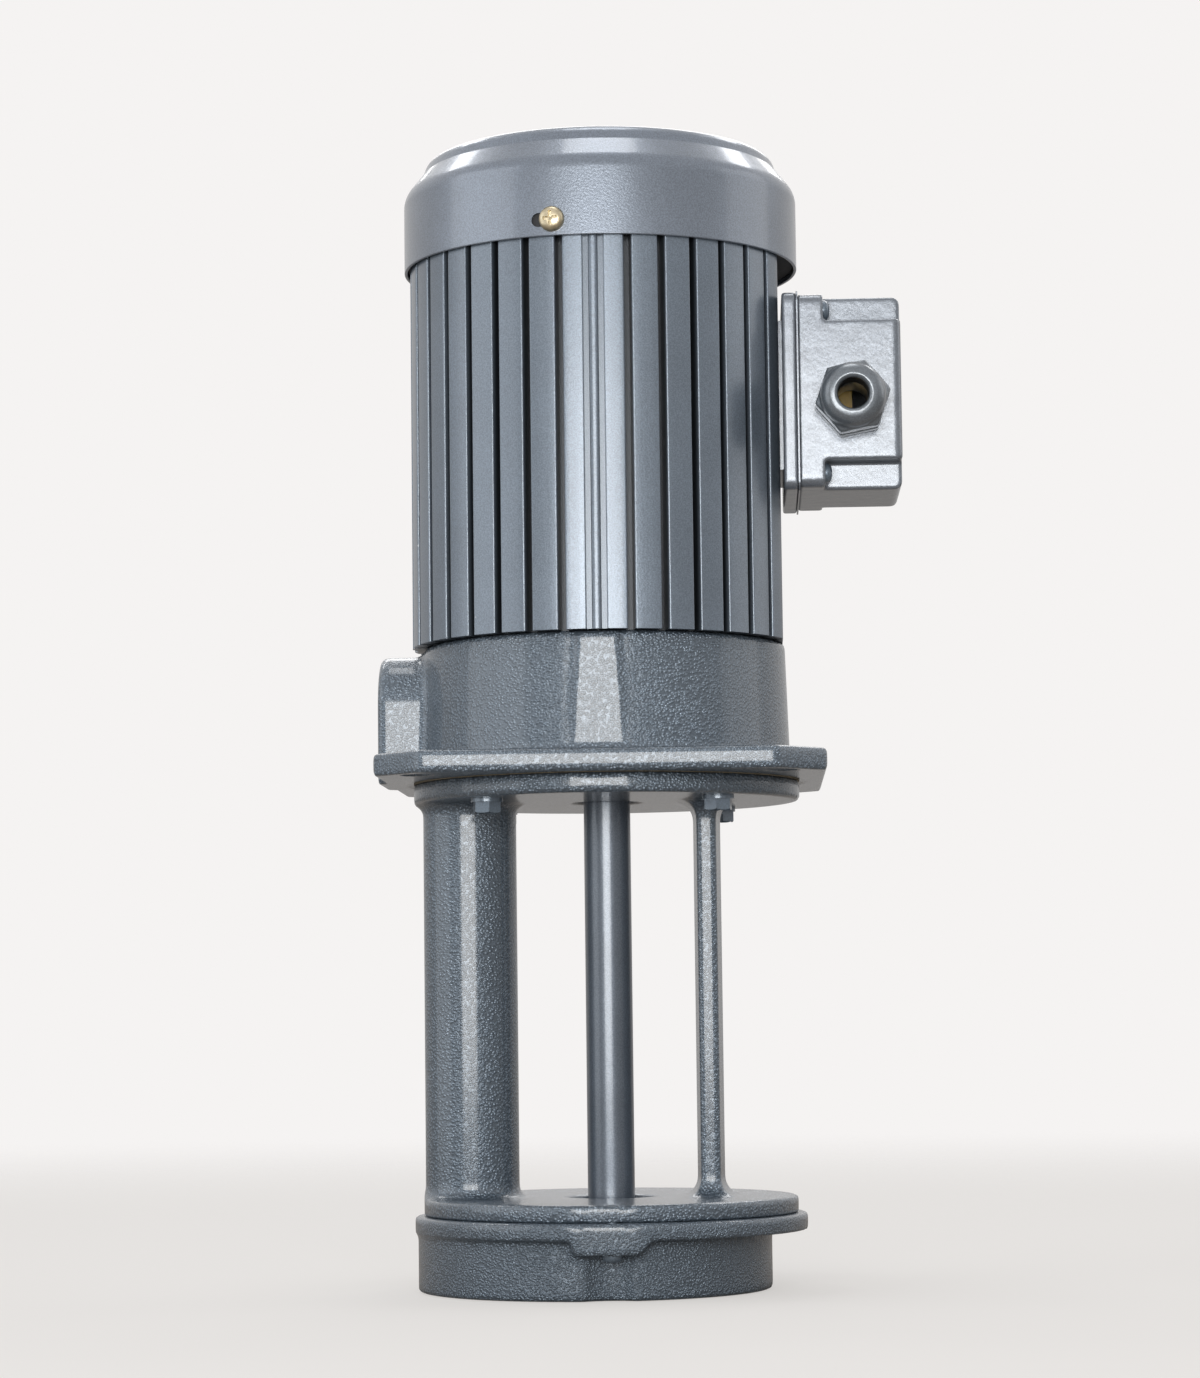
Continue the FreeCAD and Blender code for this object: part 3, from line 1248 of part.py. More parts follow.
# Suction cover with the volute chamber in it
def suction_cover():
    body = piece("suction_cover")
    ring = sketch_on(body, "ring_circle", "XY_Plane", offset="-column_depth")
    circle(ring, "ring_radius")
    pad(body, "ring", ring, "ring_thick", backwards=True)
    bowl = sketch_on(body, "bowl_circle", "XY_Plane", offset="pump_foot")
    circle(bowl, "volute_radius", "-volute_shift")
    pad(body, "bowl", bowl, "volute_depth - ring_thick")
    lug = sketch_on(body, "cover_lug_outline", "XZ_Plane", offset="volute_radius - volute_wall + joint_sink")
    outline(lug, [("-cover_lug_top_left", "ring_bottom + joint_sink"),
                  ("-cover_lug_foot_left", "lug_bottom"), ("cover_lug_foot_right", "lug_bottom"),
                  ("cover_lug_top_right", "ring_bottom + joint_sink")])
    first = pad(body, "cover_lug", lug,
                "ring_radius + overcut - (volute_radius - volute_wall + joint_sink)")
    around(body, "cover_lugs", first, 2)
    past = "(ring_radius + 4 * overcut)"
    bored(body, "lug_trim", [
        ("ring_radius", "lug_bottom - overcut"), (past, "lug_bottom - overcut"),
        (past, "-column_depth"), ("ring_radius", "-column_depth")])
    bite = sketch_on(body, "recess_circles", "XY_Plane", offset="pump_foot")
    for side in ("", "-"):
        circle(bite, "recess_sweep", "0", f"{side}(volute_radius - recess_bite + recess_sweep)")
    pocket(body, "screw_recesses", bite, "lug_bottom - pump_foot", backwards=True)
    chamber = sketch_on(body, "chamber_circle", "XY_Plane", offset="-column_depth")
    circle(chamber, "volute_radius - volute_wall", "-volute_shift")
    pocket(body, "volute_chamber", chamber, "volute_depth - volute_floor")
    eye = sketch_on(body, "eye_circle", "XY_Plane", offset="volute_bottom")
    circle(eye, "eye_radius")
    pocket(body, "suction_eye", eye, "volute_floor")
    soften(body, "eye_lead_in", "eye_lead", ring_edge("eye_radius", "pump_foot"), "PartDesign::Chamfer")
    screw = sketch_on(body, "lug_screw_circles", "XY_Plane", offset="-column_depth")
    for side in ("", "-"):
        circle(screw, "cover_screw_radius + hole_gap", "0", f"{side}cover_screw_circle")
    pocket(body, "lug_screw_holes", screw, "ring_thick + cover_lug_drop")
    body.Placement = turned_by(LUG_TURN)


def suction_cover_screws():
    master = round_screw("suction_screw_pattern", "cover_screw_head_radius",
                         "cover_screw_head_height", "cover_screw_radius", "cover_screw_length")
    copies_of("suction_cover_screws", master, [
        (f"cover_screw_circle * cos({angle})", f"cover_screw_circle * sin({angle})",
         "lug_bottom", (0, 0, -1)) for angle in (LUG_TURN - 90, LUG_TURN + 90)])


# Terminal box on the housing's flat pad
def box_rectangle(sketch, depth, height):
    """A rectangle in the plane across the X axis, centred on the box."""
    side, rise = f"({depth}) / 2", f"({height}) / 2"
    outline(sketch, [(f"-{side}", f"box_level - {rise}"), (side, f"box_level - {rise}"),
                     (side, f"box_level + {rise}"), (f"-{side}", f"box_level + {rise}")])


def along_x(edge):
    box = edge.BoundBox
    return box.YLength < NEAR and box.ZLength < NEAR


def box_screw_spots():
    side = "(box_depth / 2 - box_screw_inset)"
    rise = "(box_height / 2 - box_screw_inset)"
    return [(f"{a}{side}", f"box_level + ({b}{rise})") for a in ("", "-") for b in ("", "-")]


def terminal_box_base():
    gasket = piece("base_gasket")
    sheet_outline = sketch_on(gasket, "base_gasket_outline", "YZ_Plane", offset="pad_offset")
    box_rectangle(sheet_outline, "2 * (base_screw_side + base_gasket_margin)",
                  "base_screw_spread + 2 * base_gasket_margin")
    circle(sheet_outline, "window_radius", "0", "box_level")
    for side in ("", "-"):
        circle(sheet_outline, "box_screw_radius + hole_gap", "base_screw_side",
               f"box_level + ({side}base_screw_spread / 2)")
    pad(gasket, "base_gasket_sheet", sheet_outline, "base_gasket_thick")

    body = piece("terminal_box_base")
    plate = sketch_on(body, "base_outline", "YZ_Plane", offset="base_face")
    box_rectangle(plate, "box_depth + box_lip", "box_height + box_lip")
    pad(body, "base_plate", plate, "base_thick")
    soften(body, "base_corners", "box_corner", along_x)
    holes = sketch_on(body, "base_hole_circles", "YZ_Plane", offset="base_face")
    circle(holes, "window_radius", "0", "box_level")
    for side in ("", "-"):
        circle(holes, "box_screw_radius + hole_gap", "base_screw_side",
               f"box_level + ({side}base_screw_spread / 2)")
    for across, up in box_screw_spots():
        circle(holes, "box_screw_radius + fit_gap", across, up)
    for side in ("", "-"):
        circle(holes, "block_screw_radius + fit_gap", "-block_shift",
               f"box_level + ({side}block_screw_spread / 2)")
    circle(holes, "box_screw_radius + fit_gap", "earth_side", "box_level")
    pocket(body, "base_holes", holes, "base_thick", backwards=True)


def terminal_box_gasket():
    body = piece("terminal_box_gasket")
    sketch = sketch_on(body, "box_gasket_outline", "YZ_Plane", offset="box_seam")
    box_rectangle(sketch, "box_depth + box_lip + seam_flash", "box_height + box_lip + seam_flash")
    pad(body, "box_gasket_sheet", sketch, "box_gasket_thick")
    soften(body, "gasket_corners", "box_corner", along_x)
    opening = sketch_on(body, "box_gasket_opening", "YZ_Plane", offset="box_seam")
    cross_outline(opening)
    for across, up in box_screw_spots():
        circle(opening, "box_screw_radius + hole_gap", across, up)
    pocket(body, "box_gasket_cut", opening, "box_gasket_thick", backwards=True)


def cross_outline(sketch):
    """The box's inside: a rectangle less a square at each corner for the screws."""
    side, rise = "(box_depth / 2 - cover_skin)", "(box_height / 2 - cover_skin)"
    near, low = "(box_depth / 2 - notch_width - cover_skin)", "(box_height / 2 - notch_height - cover_skin)"
    quarter = [(side, low), (near, low), (near, rise)]
    corners = []
    for a, b, order in (("", "", 1), ("-", "", -1), ("-", "-", 1), ("", "-", -1)):
        for across, up in quarter[::order]:
            corners.append((f"{a}{across}", f"box_level + ({b}{up})"))
    outline(sketch, corners)


def terminal_box_cover():
    body = piece("terminal_box_cover")
    plate = sketch_on(body, "cover_outline", "YZ_Plane", offset="cover_face")
    box_rectangle(plate, "box_depth", "box_height")
    pad(body, "cover_block", plate, "cover_flange + cover_body")
    soften(body, "cover_corners", "box_corner", along_x)
    end = number("box_end")
    soften(body, "cover_end_edges", "box_end_round", lambda e: abs(e.BoundBox.XMin - end) < NEAR)
    notch = sketch_on(body, "notch_outline", "YZ_Plane", offset="step_face")
    for a in ("", "-"):
        for b in ("", "-"):
            near, low = "(box_depth / 2 - notch_width)", "(box_height / 2 - notch_height)"
            far, high = "(box_depth / 2 + overcut)", "(box_height / 2 + overcut)"
            outline(notch, [(f"{a}{near}", f"box_level + ({b}{low})"),
                            (f"{a}{far}", f"box_level + ({b}{low})"),
                            (f"{a}{far}", f"box_level + ({b}{high})"),
                            (f"{a}{near}", f"box_level + ({b}{high})")])
    pocket(body, "notches", notch, "cover_body + overcut", backwards=True)
    inside = sketch_on(body, "inside_outline", "YZ_Plane", offset="cover_face")
    cross_outline(inside)
    pocket(body, "inside", inside, "cover_flange + cover_body - cover_skin", backwards=True)
    holes = sketch_on(body, "cover_hole_circles", "YZ_Plane", offset="cover_face")
    for across, up in box_screw_spots():
        circle(holes, "box_screw_radius + hole_gap", across, up)
    pocket(body, "cover_holes", holes, "cover_flange", backwards=True)
    entry = sketch_on(body, "entry_circle", "XZ_Plane", offset="box_front")
    circle(entry, "gland_thread_radius + fit_gap", "gland_axis", "gland_level")
    pocket(body, "entry", entry, "cover_skin")


def box_fasteners():
    screw = round_screw("box_screw_pattern", "box_screw_head_radius", "box_screw_head_height",
                        "box_screw_radius", "cover_flange + box_gasket_thick + box_screw_thread")
    copies_of("terminal_box_screws", screw,
              [("step_face", across, up, (1, 0, 0)) for across, up in box_screw_spots()])
    fixing = round_screw("base_screw_pattern", "box_screw_head_radius", "box_screw_head_height",
                         "box_screw_radius", "base_thick + base_gasket_thick + base_screw_grip")
    spread = [f"box_level + ({side}base_screw_spread / 2)" for side in ("", "-")]
    copies_of("base_screws", fixing,
              [("box_seam", "base_screw_side", up, (1, 0, 0)) for up in spread])
    small = round_screw("block_screw_pattern", "block_screw_head_radius",
                        "block_screw_head_height", "block_screw_radius",
                        "block_foot + base_screw_grip")
    spread = [f"box_level + ({side}block_screw_spread / 2)" for side in ("", "-")]
    copies_of("block_screws", small,
              [("box_seam + block_foot", "-block_shift", up, (1, 0, 0)) for up in spread])
    earth = round_screw("earth_screw_pattern", "box_screw_head_radius", "box_screw_head_height",
                        "box_screw_radius", "base_thick - thread_relief")
    copies_of("earth_screw", earth,
              [("box_seam", "earth_side", "box_level", (1, 0, 0))])


def terminal_block():
    body = piece("terminal_block")
    base = sketch_on(body, "block_outline", "YZ_Plane", offset="box_seam")
    half, rise = "block_width / 2", "(block_height / 2)"
    outline(base, [(f"-block_shift - {half}", f"box_level - {rise}"),
                   (f"-block_shift + {half}", f"box_level - {rise}"),
                   (f"-block_shift + {half}", f"box_level + {rise}"),
                   (f"-block_shift - {half}", f"box_level + {rise}")])
    pad(body, "block_foot_plate", base, "block_foot")
    stand = sketch_on(body, "block_stand_outline", "YZ_Plane", offset="box_seam")
    rise = "(block_height / 2 - block_ear)"
    outline(stand, [(f"-block_shift - {half}", f"box_level - {rise}"),
                    (f"-block_shift + {half}", f"box_level - {rise}"),
                    (f"-block_shift + {half}", f"box_level + {rise}"),
                    (f"-block_shift - {half}", f"box_level + {rise}")])
    pad(body, "block_stand", stand, "block_thick - barrier_rise")
    for name, share in (("low", -0.5), ("high", 0.5)):
        fin = sketch_on(body, f"{name}_barrier_outline", "YZ_Plane", offset="box_seam")
        middle = f"(box_level + stud_pitch * {share})"
        outline(fin, [(f"-block_shift - {half}", f"{middle} - barrier_thick / 2"),
                      (f"-block_shift + {half}", f"{middle} - barrier_thick / 2"),
                      (f"-block_shift + {half}", f"{middle} + barrier_thick / 2"),
                      (f"-block_shift - {half}", f"{middle} + barrier_thick / 2")])
        pad(body, f"{name}_barrier", fin, "block_thick")
    guard = sketch_on(body, "guard_outline", "YZ_Plane", offset="box_seam")
    near, far = f"-block_shift - {half}", f"-block_shift - {half} + guard_thick"
    outline(guard, [(near, f"box_level - {rise}"), (far, f"box_level - {rise}"),
                    (far, "box_level + guard_head"), (near, "box_level + guard_head")])
    pad(body, "lead_guard", guard, "guard_reach")
    holes = sketch_on(body, "block_hole_circles", "YZ_Plane", offset="box_seam")
    for i in (-1, 0, 1):
        circle(holes, "stud_radius + fit_gap", "-block_shift", f"box_level + stud_pitch * {i}")
    for side in ("", "-"):
        circle(holes, "block_screw_radius + hole_gap", "-block_shift",
               f"box_level + ({side}block_screw_spread / 2)")
    pocket(body, "block_holes", holes, "block_thick", backwards=True)


def terminal_studs():
    stud = pattern_body("stud_pattern")
    rod = sketch_on(stud, "stud_circle", "XY_Plane")
    circle(rod, "stud_radius")
    pad(stud, "stud_rod", rod, "block_thick - barrier_rise + stud_length")
    nut = sketch_on(stud, "stud_nut_outline", "XY_Plane", offset="block_thick - barrier_rise")
    hexagon(nut, "stud_nut_flats")
    pad(stud, "stud_nut", nut, "stud_nut_height")
    copies_of("terminal_studs", stud,
              [("box_seam", "-block_shift", f"box_level + stud_pitch * {i}", (1, 0, 0))
               for i in (-1, 0, 1)])


# Cable gland; its pieces are drawn upright and lie along -Y from the box's front
def gland_piece(label):
    """A body whose own Z axis is the gland's axis, pointing out of the box."""
    body = piece(label)
    out = FreeCAD.Rotation(FreeCAD.Vector(0, 0, 1), FreeCAD.Vector(0, -1, 0))
    clock = FreeCAD.Rotation(FreeCAD.Vector(0, 0, 1), GLAND_CLOCK)
    body.Placement = FreeCAD.Placement(FreeCAD.Vector(), out.multiply(clock))
    body.setExpression("Placement.Base.x", tied("gland_axis"))
    body.setExpression("Placement.Base.y", tied("-box_front"))
    body.setExpression("Placement.Base.z", tied("gland_level"))
    return body


def cable_gland():
    inner = "(gland_seal_radius + fit_gap)"
    body = gland_piece("gland_body")
    collar = sketch_on(body, "collar_outline", "XY_Plane")
    hexagon(collar, "gland_hex_flats")
    pad(body, "collar", collar, "gland_hex_thick")
    barrel = sketch_on(body, "gland_barrel_circle", "XY_Plane", offset="-gland_stub")
    circle(barrel, "gland_thread_radius")
    pad(body, "gland_barrel", barrel, "gland_stub + seal_back - box_front + gland_seal_length / 2")
    bored(body, "gland_bore", [
        ("0", "-gland_stub - overcut"), ("gland_mouth_radius", "-gland_stub - overcut"),
        ("gland_mouth_radius", "seal_back - box_front"), (inner, "seal_back - box_front"),
        (inner, "nut_front"), ("0", "nut_front")])

    seal = gland_piece("gland_seal")
    turned(seal, "seal_sleeve", [
        ("gland_mouth_radius", "seal_back - box_front"), ("gland_seal_radius", "seal_back - box_front"),
        ("gland_seal_radius", "seal_back - box_front + gland_seal_length"),
        ("gland_mouth_radius", "seal_back - box_front + gland_seal_length")])

    nut = gland_piece("gland_nut")
    hexes = sketch_on(nut, "dome_hexagon", "XY_Plane", offset="nut_back - box_front")
    hexagon(hexes, "gland_hex_flats")
    pad(nut, "dome_block", hexes, "gland_nut_length")
    wide = "(gland_hex_flats / 2 / cos(30))"
    front, back = "(nut_front - box_front)", "(nut_back - box_front)"
    step = f"({back} + gland_nut_hex)"
    rim = "(gland_mouth_radius + dome_rim)"
    crown = [(f"{rim} + (dome_radius - {rim}) * sin({angle})",
              f"{front} - dome_height * (1 - cos({angle}))") for angle in DOME_ANGLES]
    dome = sketch_on(nut, "dome_profile", "XZ_Plane")
    outline(dome, [("gland_hex_flats / 2 - dome_sink", f"{step}"),
                   (f"{wide} + overcut", f"{step} - dome_fall"),
                   (f"{wide} + overcut", f"{front} + overcut"), (rim, f"{front} + overcut"),
                   *crown])
    revolve(nut, "dome", dome, "PartDesign::Groove")
    bored(nut, "nut_bore", [
        ("0", f"{back} - overcut"), ("gland_thread_radius + fit_gap", f"{back} - overcut"),
        ("gland_thread_radius + fit_gap", f"{front} - gland_mouth_lip - gland_seal_length / 2 + fit_gap"),
        ("gland_seal_radius + hole_gap", f"{front} - gland_mouth_lip - gland_seal_length / 2 + fit_gap"),
        ("gland_seal_radius + hole_gap", f"{front} - gland_mouth_lip + fit_gap"),
        ("gland_mouth_radius", f"{front} - gland_mouth_lip + fit_gap"),
        ("gland_mouth_radius", f"{front} - mouth_bevel"),
        ("gland_mouth_radius + mouth_bevel", front),
        ("gland_mouth_radius + mouth_bevel", f"{front} + overcut"), ("0", f"{front} + overcut")])

    locknut = gland_piece("gland_locknut")
    flat = sketch_on(locknut, "locknut_outline", "XY_Plane", offset="-cover_skin")
    hexagon(flat, "locknut_flats")
    circle(flat, "gland_thread_radius + fit_gap")
    pad(locknut, "locknut_shape", flat, "locknut_thick", backwards=True)


motor_bracket()
motor_housing()
upper_end_shield()
fan_cover()
fan_cover_screws()
cooling_fan()
fan_circlip()
through_bolts()
bearing("upper", "upper_bearing_level", "upper_bearing_width", "upper_seat_radius",
        "upper_bearing_outer_radius", "upper_ball_radius")
bearing("lower", "lower_bearing_level", "lower_bearing_width", "lower_seat_radius",
        "lower_bearing_outer_radius", "lower_ball_radius")
wave_spring()
bearing_circlip()
oil_seal()
stator_core()
stator_winding()
rotor_core()
rotor_end_rings()
motor_shaft()
impeller()
impeller_key()
impeller_washer()
impeller_nut()
pump_column()
column_gasket()
column_bolts()
suction_cover()
suction_cover_screws()
terminal_box_base()
terminal_box_gasket()
terminal_box_cover()
box_fasteners()
terminal_block()
terminal_studs()
cable_gland()

doc.recompute()
faults = [f"{item.Name}: {item.State}" for item in doc.Objects
          if "Invalid" in item.State or "Error" in item.State]
for label, item in pieces.items():
    if item.Shape.isNull() or not item.Shape.isValid():
        faults.append(f"{label}: shape")
if faults:
    raise ValueError("; ".join(faults))

os.makedirs("parts", exist_ok=True)
for label, item in pieces.items():
    item.Shape.exportStep(f"parts/{label}.step")
    print(label, len(item.Shape.Solids), round(item.Shape.Volume, 1))
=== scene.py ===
"""Immersion coolant pump: paint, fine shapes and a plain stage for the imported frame.

Metres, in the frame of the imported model: the mounting flange's underside is at Z = 0,
+Z runs up to the motor, the cable gland faces -Y and the terminal box lies on +X.
"""

import json
import math

import bmesh
import bpy
from bpy.props import FloatProperty, FloatVectorProperty, IntProperty, PointerProperty
from mathutils import Matrix, Vector


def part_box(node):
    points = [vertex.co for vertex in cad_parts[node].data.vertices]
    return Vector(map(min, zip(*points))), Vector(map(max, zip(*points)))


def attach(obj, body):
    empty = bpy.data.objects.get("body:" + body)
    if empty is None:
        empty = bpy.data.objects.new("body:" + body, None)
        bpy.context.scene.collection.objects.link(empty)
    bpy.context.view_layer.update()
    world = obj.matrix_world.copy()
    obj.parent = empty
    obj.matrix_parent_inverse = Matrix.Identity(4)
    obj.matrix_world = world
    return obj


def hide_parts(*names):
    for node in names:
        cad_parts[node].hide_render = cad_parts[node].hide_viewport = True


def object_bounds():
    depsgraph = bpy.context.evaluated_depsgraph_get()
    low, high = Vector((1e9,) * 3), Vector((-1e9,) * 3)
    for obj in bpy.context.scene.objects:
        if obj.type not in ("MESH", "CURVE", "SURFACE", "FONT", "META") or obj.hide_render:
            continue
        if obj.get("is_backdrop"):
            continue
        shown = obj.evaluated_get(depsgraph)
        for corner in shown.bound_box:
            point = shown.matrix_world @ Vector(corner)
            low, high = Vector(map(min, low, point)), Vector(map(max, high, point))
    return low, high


bl_info = {
    "name": "Immersion coolant pump",
    "version": (1, 0, 0),
    "blender": (4, 5, 0),
    "location": "View3D > Sidebar > Pump",
    "description": "Paints and details the packed pump and sets its stage",
    "category": "Object",
}

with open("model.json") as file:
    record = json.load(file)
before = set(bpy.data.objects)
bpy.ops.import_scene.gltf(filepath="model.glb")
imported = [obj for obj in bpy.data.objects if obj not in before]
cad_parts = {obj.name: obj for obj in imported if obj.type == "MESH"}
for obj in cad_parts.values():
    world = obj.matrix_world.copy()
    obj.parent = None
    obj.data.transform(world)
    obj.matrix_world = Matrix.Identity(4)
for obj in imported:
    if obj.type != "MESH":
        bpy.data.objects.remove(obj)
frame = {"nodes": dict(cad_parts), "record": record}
NODES = frame["nodes"]
MM = 0.001

# Fan cover, in millimetres: a pressed cap with a stepped crown, slots and vents
COVER_RIM, COVER_WALL, COVER_RISE, COVER_SHEET = 63.8, 24.1, 4.6, 1.0
CROWN_RADIUS, SHOULDER_RADIUS = 56.0, 57.6
SLOT_HALF_WIDTH, SLOT_BEND, SLOT_REACH, SLOT_SHIFT, SLOT_ARC_STEPS = 2.2, 2.1, 4.45, -2.15, 8
VENTS, VENT_TURN, VENT_START, VENT_END, VENT_NARROW, VENT_WIDE = 18, -11, 20.0, 46.0, 1.13, 1.7
CUT_DEPTH = 5.0

# Finned housing, in millimetres: its outermost fins and the four beads pressed into them
FIN_EDGE_RADIUS = 61.5
BEAD_REACH, BEAD_FLOOR, BEAD_HALF_WIDTH, BEAD_SHARE = 61.9, 59.0, 3.4, 0.5
# Painted shade in the fin grooves: full inside the first radius, gone past the second
GROOVE_SHADE_FULL, GROOVE_SHADE_END = 59.6, 61.9

# Skins: how sharp an edge has to be to be rounded, and how much of a skin's mesh is kept
SHARP_TURN, EDGE_STEPS, CORNER_STEPS, SKIN_SHARE = 32.0, 3, 7, 0.5
GLAND_VOXEL, GLAND_ROUNDS, BOX_VOXEL_SHARE, SHAFT_EDGE = 0.28, 24, 0.6, 0.2

# Paint: how metallic it is, and how much lighter its light patches are
METALLIC, LIGHTER = 0.45, 1.12

# Lamps: name, place, aim, width and height, brightness, colour
LAMPS = (
    ("key", (-0.06, -1.35, 0.12), (0, 0, 0.02), (0.85, 0.5), 11.0, (1.0, 0.99, 0.97)),
    ("left", (-1.5, -0.55, 0.35), (0, 0, 0.03), (1.3, 1.5), 1.4, (0.96, 0.98, 1.0)),
    ("top", (0.0, 0.05, 1.5), (0, 0, 0.1), (0.5, 0.5), 5.0, (1.0, 1.0, 1.0)),
    ("back", (0.0, 1.6, 1.15), (0, 0, 0.05), (1.2, 0.6), 2.8, (1.0, 1.0, 1.0)),
    ("right", (1.5, 0.2, 0.6), (0, 0, 0.05), (1.0, 1.0), 0.9, (1.0, 0.99, 0.98)),
    ("back_left", (-0.8, 0.9, 1.35), (0, 0, 0.15), (0.5, 0.25), 6.0, (1.0, 1.0, 1.0)),
    ("back_right", (0.8, 0.9, 1.35), (0, 0, 0.15), (0.5, 0.25), 6.0, (1.0, 1.0, 1.0)),
)
FLOOR_RADIUS, FLOOR_SIDES, FLOOR_GAP, FLOOR_FADE = 2.2, 96, 0.2, (0.5, 1.6)
FLOOR_GLOW = 0.62
FLOOR_BOUNCE, BOUNCE_TINT = 0.45, (1.0, 0.93, 0.86)
SKY, SKY_STRENGTH = (0.93, 0.95, 1.0, 1.0), 0.26
UNDER, UNDER_LEVEL, OVER_LEVEL = (0.2, 0.19, 0.18, 1.0), -0.45, 0.55

# Camera: focal length and picture height in the photograph's pixels, and two small turns
FOCAL, PICTURE_HEIGHT, SENSOR, HEADING, ROLL = 3700, 1378, 36.0, 0.085, -0.68


def srgb(red, green, blue):
    """A linear colour from screen values between 0 and 255."""
    def one(value):
        value = value / 255
        return value / 12.92 if value <= 0.04045 else ((value + 0.055) / 1.055) ** 2.4
    return (one(red), one(green), one(blue))


def times(colour, share):
    return [part * share for part in colour]


def in_mm(**sizes):
    """Sizes in millimetres as a tree's named inputs; head_radius becomes Head radius."""
    return {name.replace("_", " ").capitalize(): size * MM for name, size in sizes.items()}


# Node trees: one wrapped socket, one tree, and the two kinds of tree
class Value:
    """An output socket that takes part in sums and products."""

    def __init__(self, tree, socket):
        self.tree = tree
        self.socket = socket

    def math(self, operation, *others):
        return self.tree.node("ShaderNodeMath", [self, *others], operation=operation)

    def __add__(self, other):
        return self.math("ADD", other)

    __radd__ = __add__

    def __sub__(self, other):
        return self.math("SUBTRACT", other)

    def __rsub__(self, other):
        return self.tree.node("ShaderNodeMath", [other, self], operation="SUBTRACT")

    def __mul__(self, other):
        return self.math("MULTIPLY", other)

    __rmul__ = __mul__

    def __truediv__(self, other):
        return self.math("DIVIDE", other)

    def __rtruediv__(self, other):
        return self.tree.node("ShaderNodeMath", [other, self], operation="DIVIDE")

    def __pow__(self, other):
        return self.math("POWER", other)

    def ramp(self, low, high, start=0.0, end=1.0):
        """Runs smoothly from start to end as this value goes from low to high."""
        return self.tree.node("ShaderNodeMapRange", [self, low, high, start, end],
                              interpolation_type="SMOOTHSTEP")


class Tree:
    """A node tree that is written from Python."""

    def __init__(self, tree):
        self.tree = tree
        self.tree.nodes.clear()

    def join(self, value, socket):
        if isinstance(value, (list, tuple)) and any(isinstance(v, Value) for v in value):
            for one in value:
                self.tree.links.new(one.socket, socket)
        elif isinstance(value, Value):
            self.tree.links.new(value.socket, socket)
        elif value is not None:
            socket.default_value = value

    def node(self, kind, inputs=(), output=0, **settings):
        """Any node, its settings, its inputs in order or by name, and one of its outputs."""
        made = self.tree.nodes.new(kind)
        for name, value in settings.items():
            setattr(made, name, value)
        pairs = inputs.items() if isinstance(inputs, dict) else enumerate(inputs)
        for key, value in pairs:
            self.join(value, made.inputs[key])
        return Value(self, made.outputs[output])


class Paint(Tree):
    """A material's node tree with one surface, on object coordinates."""

    def __init__(self, name):
        self.material = bpy.data.materials.new(name)
        self.material.use_nodes = True
        super().__init__(self.material.node_tree)
        self.place = self.node("ShaderNodeTexCoord", output="Object")
        self.surface = self.tree.nodes.new("ShaderNodeBsdfPrincipled")
        self.end = self.tree.nodes.new("ShaderNodeOutputMaterial")
        self.tree.links.new(self.surface.outputs[0], self.end.inputs[0])

    def noise(self, size, detail=2.0, rough=0.5, place=None):
        """Noise whose grains are about that size in metres."""
        return self.node("ShaderNodeTexNoise", {
            "Vector": place or self.place, "Scale": 1.0 / size, "Detail": detail,
            "Roughness": rough}, "Fac")

    def cells(self, size):
        """Distance from the middle of cells of about that size."""
        return self.node("ShaderNodeTexVoronoi", {
            "Vector": self.place, "Scale": 1.0 / size}, "Distance")

    def axis(self, index):
        return self.node("ShaderNodeSeparateXYZ", [self.place], index)

    def radius(self):
        """Distance from the Z axis."""
        return (self.axis(0) ** 2.0 + self.axis(1) ** 2.0) ** 0.5

    def stretched(self, across, along):
        """Object places scaled across and along Z, for marks drawn along the part."""
        return self.node("ShaderNodeVectorMath", [self.place, (across, across, along)],
                         operation="MULTIPLY")

    def blend(self, share, first, second):
        """One colour fading into another by share."""
        colours = [c if isinstance(c, Value) else (*c, 1.0) for c in (first, second)]
        return self.node("ShaderNodeMix", {0: share, 6: colours[0], 7: colours[1]}, 2,
                         data_type="RGBA")

    def lighter(self, colour, share):
        return self.node("ShaderNodeVectorMath", {"Vector": colour, "Scale": share},
                         operation="SCALE")

    def patched(self, colour, share):
        """Paint between a colour and a lighter one, with fine flakes in it."""
        return self.flaked(colour, times(colour, LIGHTER), share.ramp(0.3, 0.7))

    def flaked(self, low, high, share):
        flake = self.noise(0.42 * MM, 1.0).ramp(0.3, 0.7, 0.84, 1.16)
        return self.lighter(self.blend(share, low, high), flake)

    def bump(self, height, depth, under=None):
        return self.node("ShaderNodeBump", {
            "Height": height, "Distance": depth, "Normal": under}, "Normal")

    def set(self, **values):
        for name, value in values.items():
            if name == "Base_Color" and not isinstance(value, Value):
                value = (*value, 1.0)
            self.join(value, self.surface.inputs[name.replace("_", " ")])
        return self.material


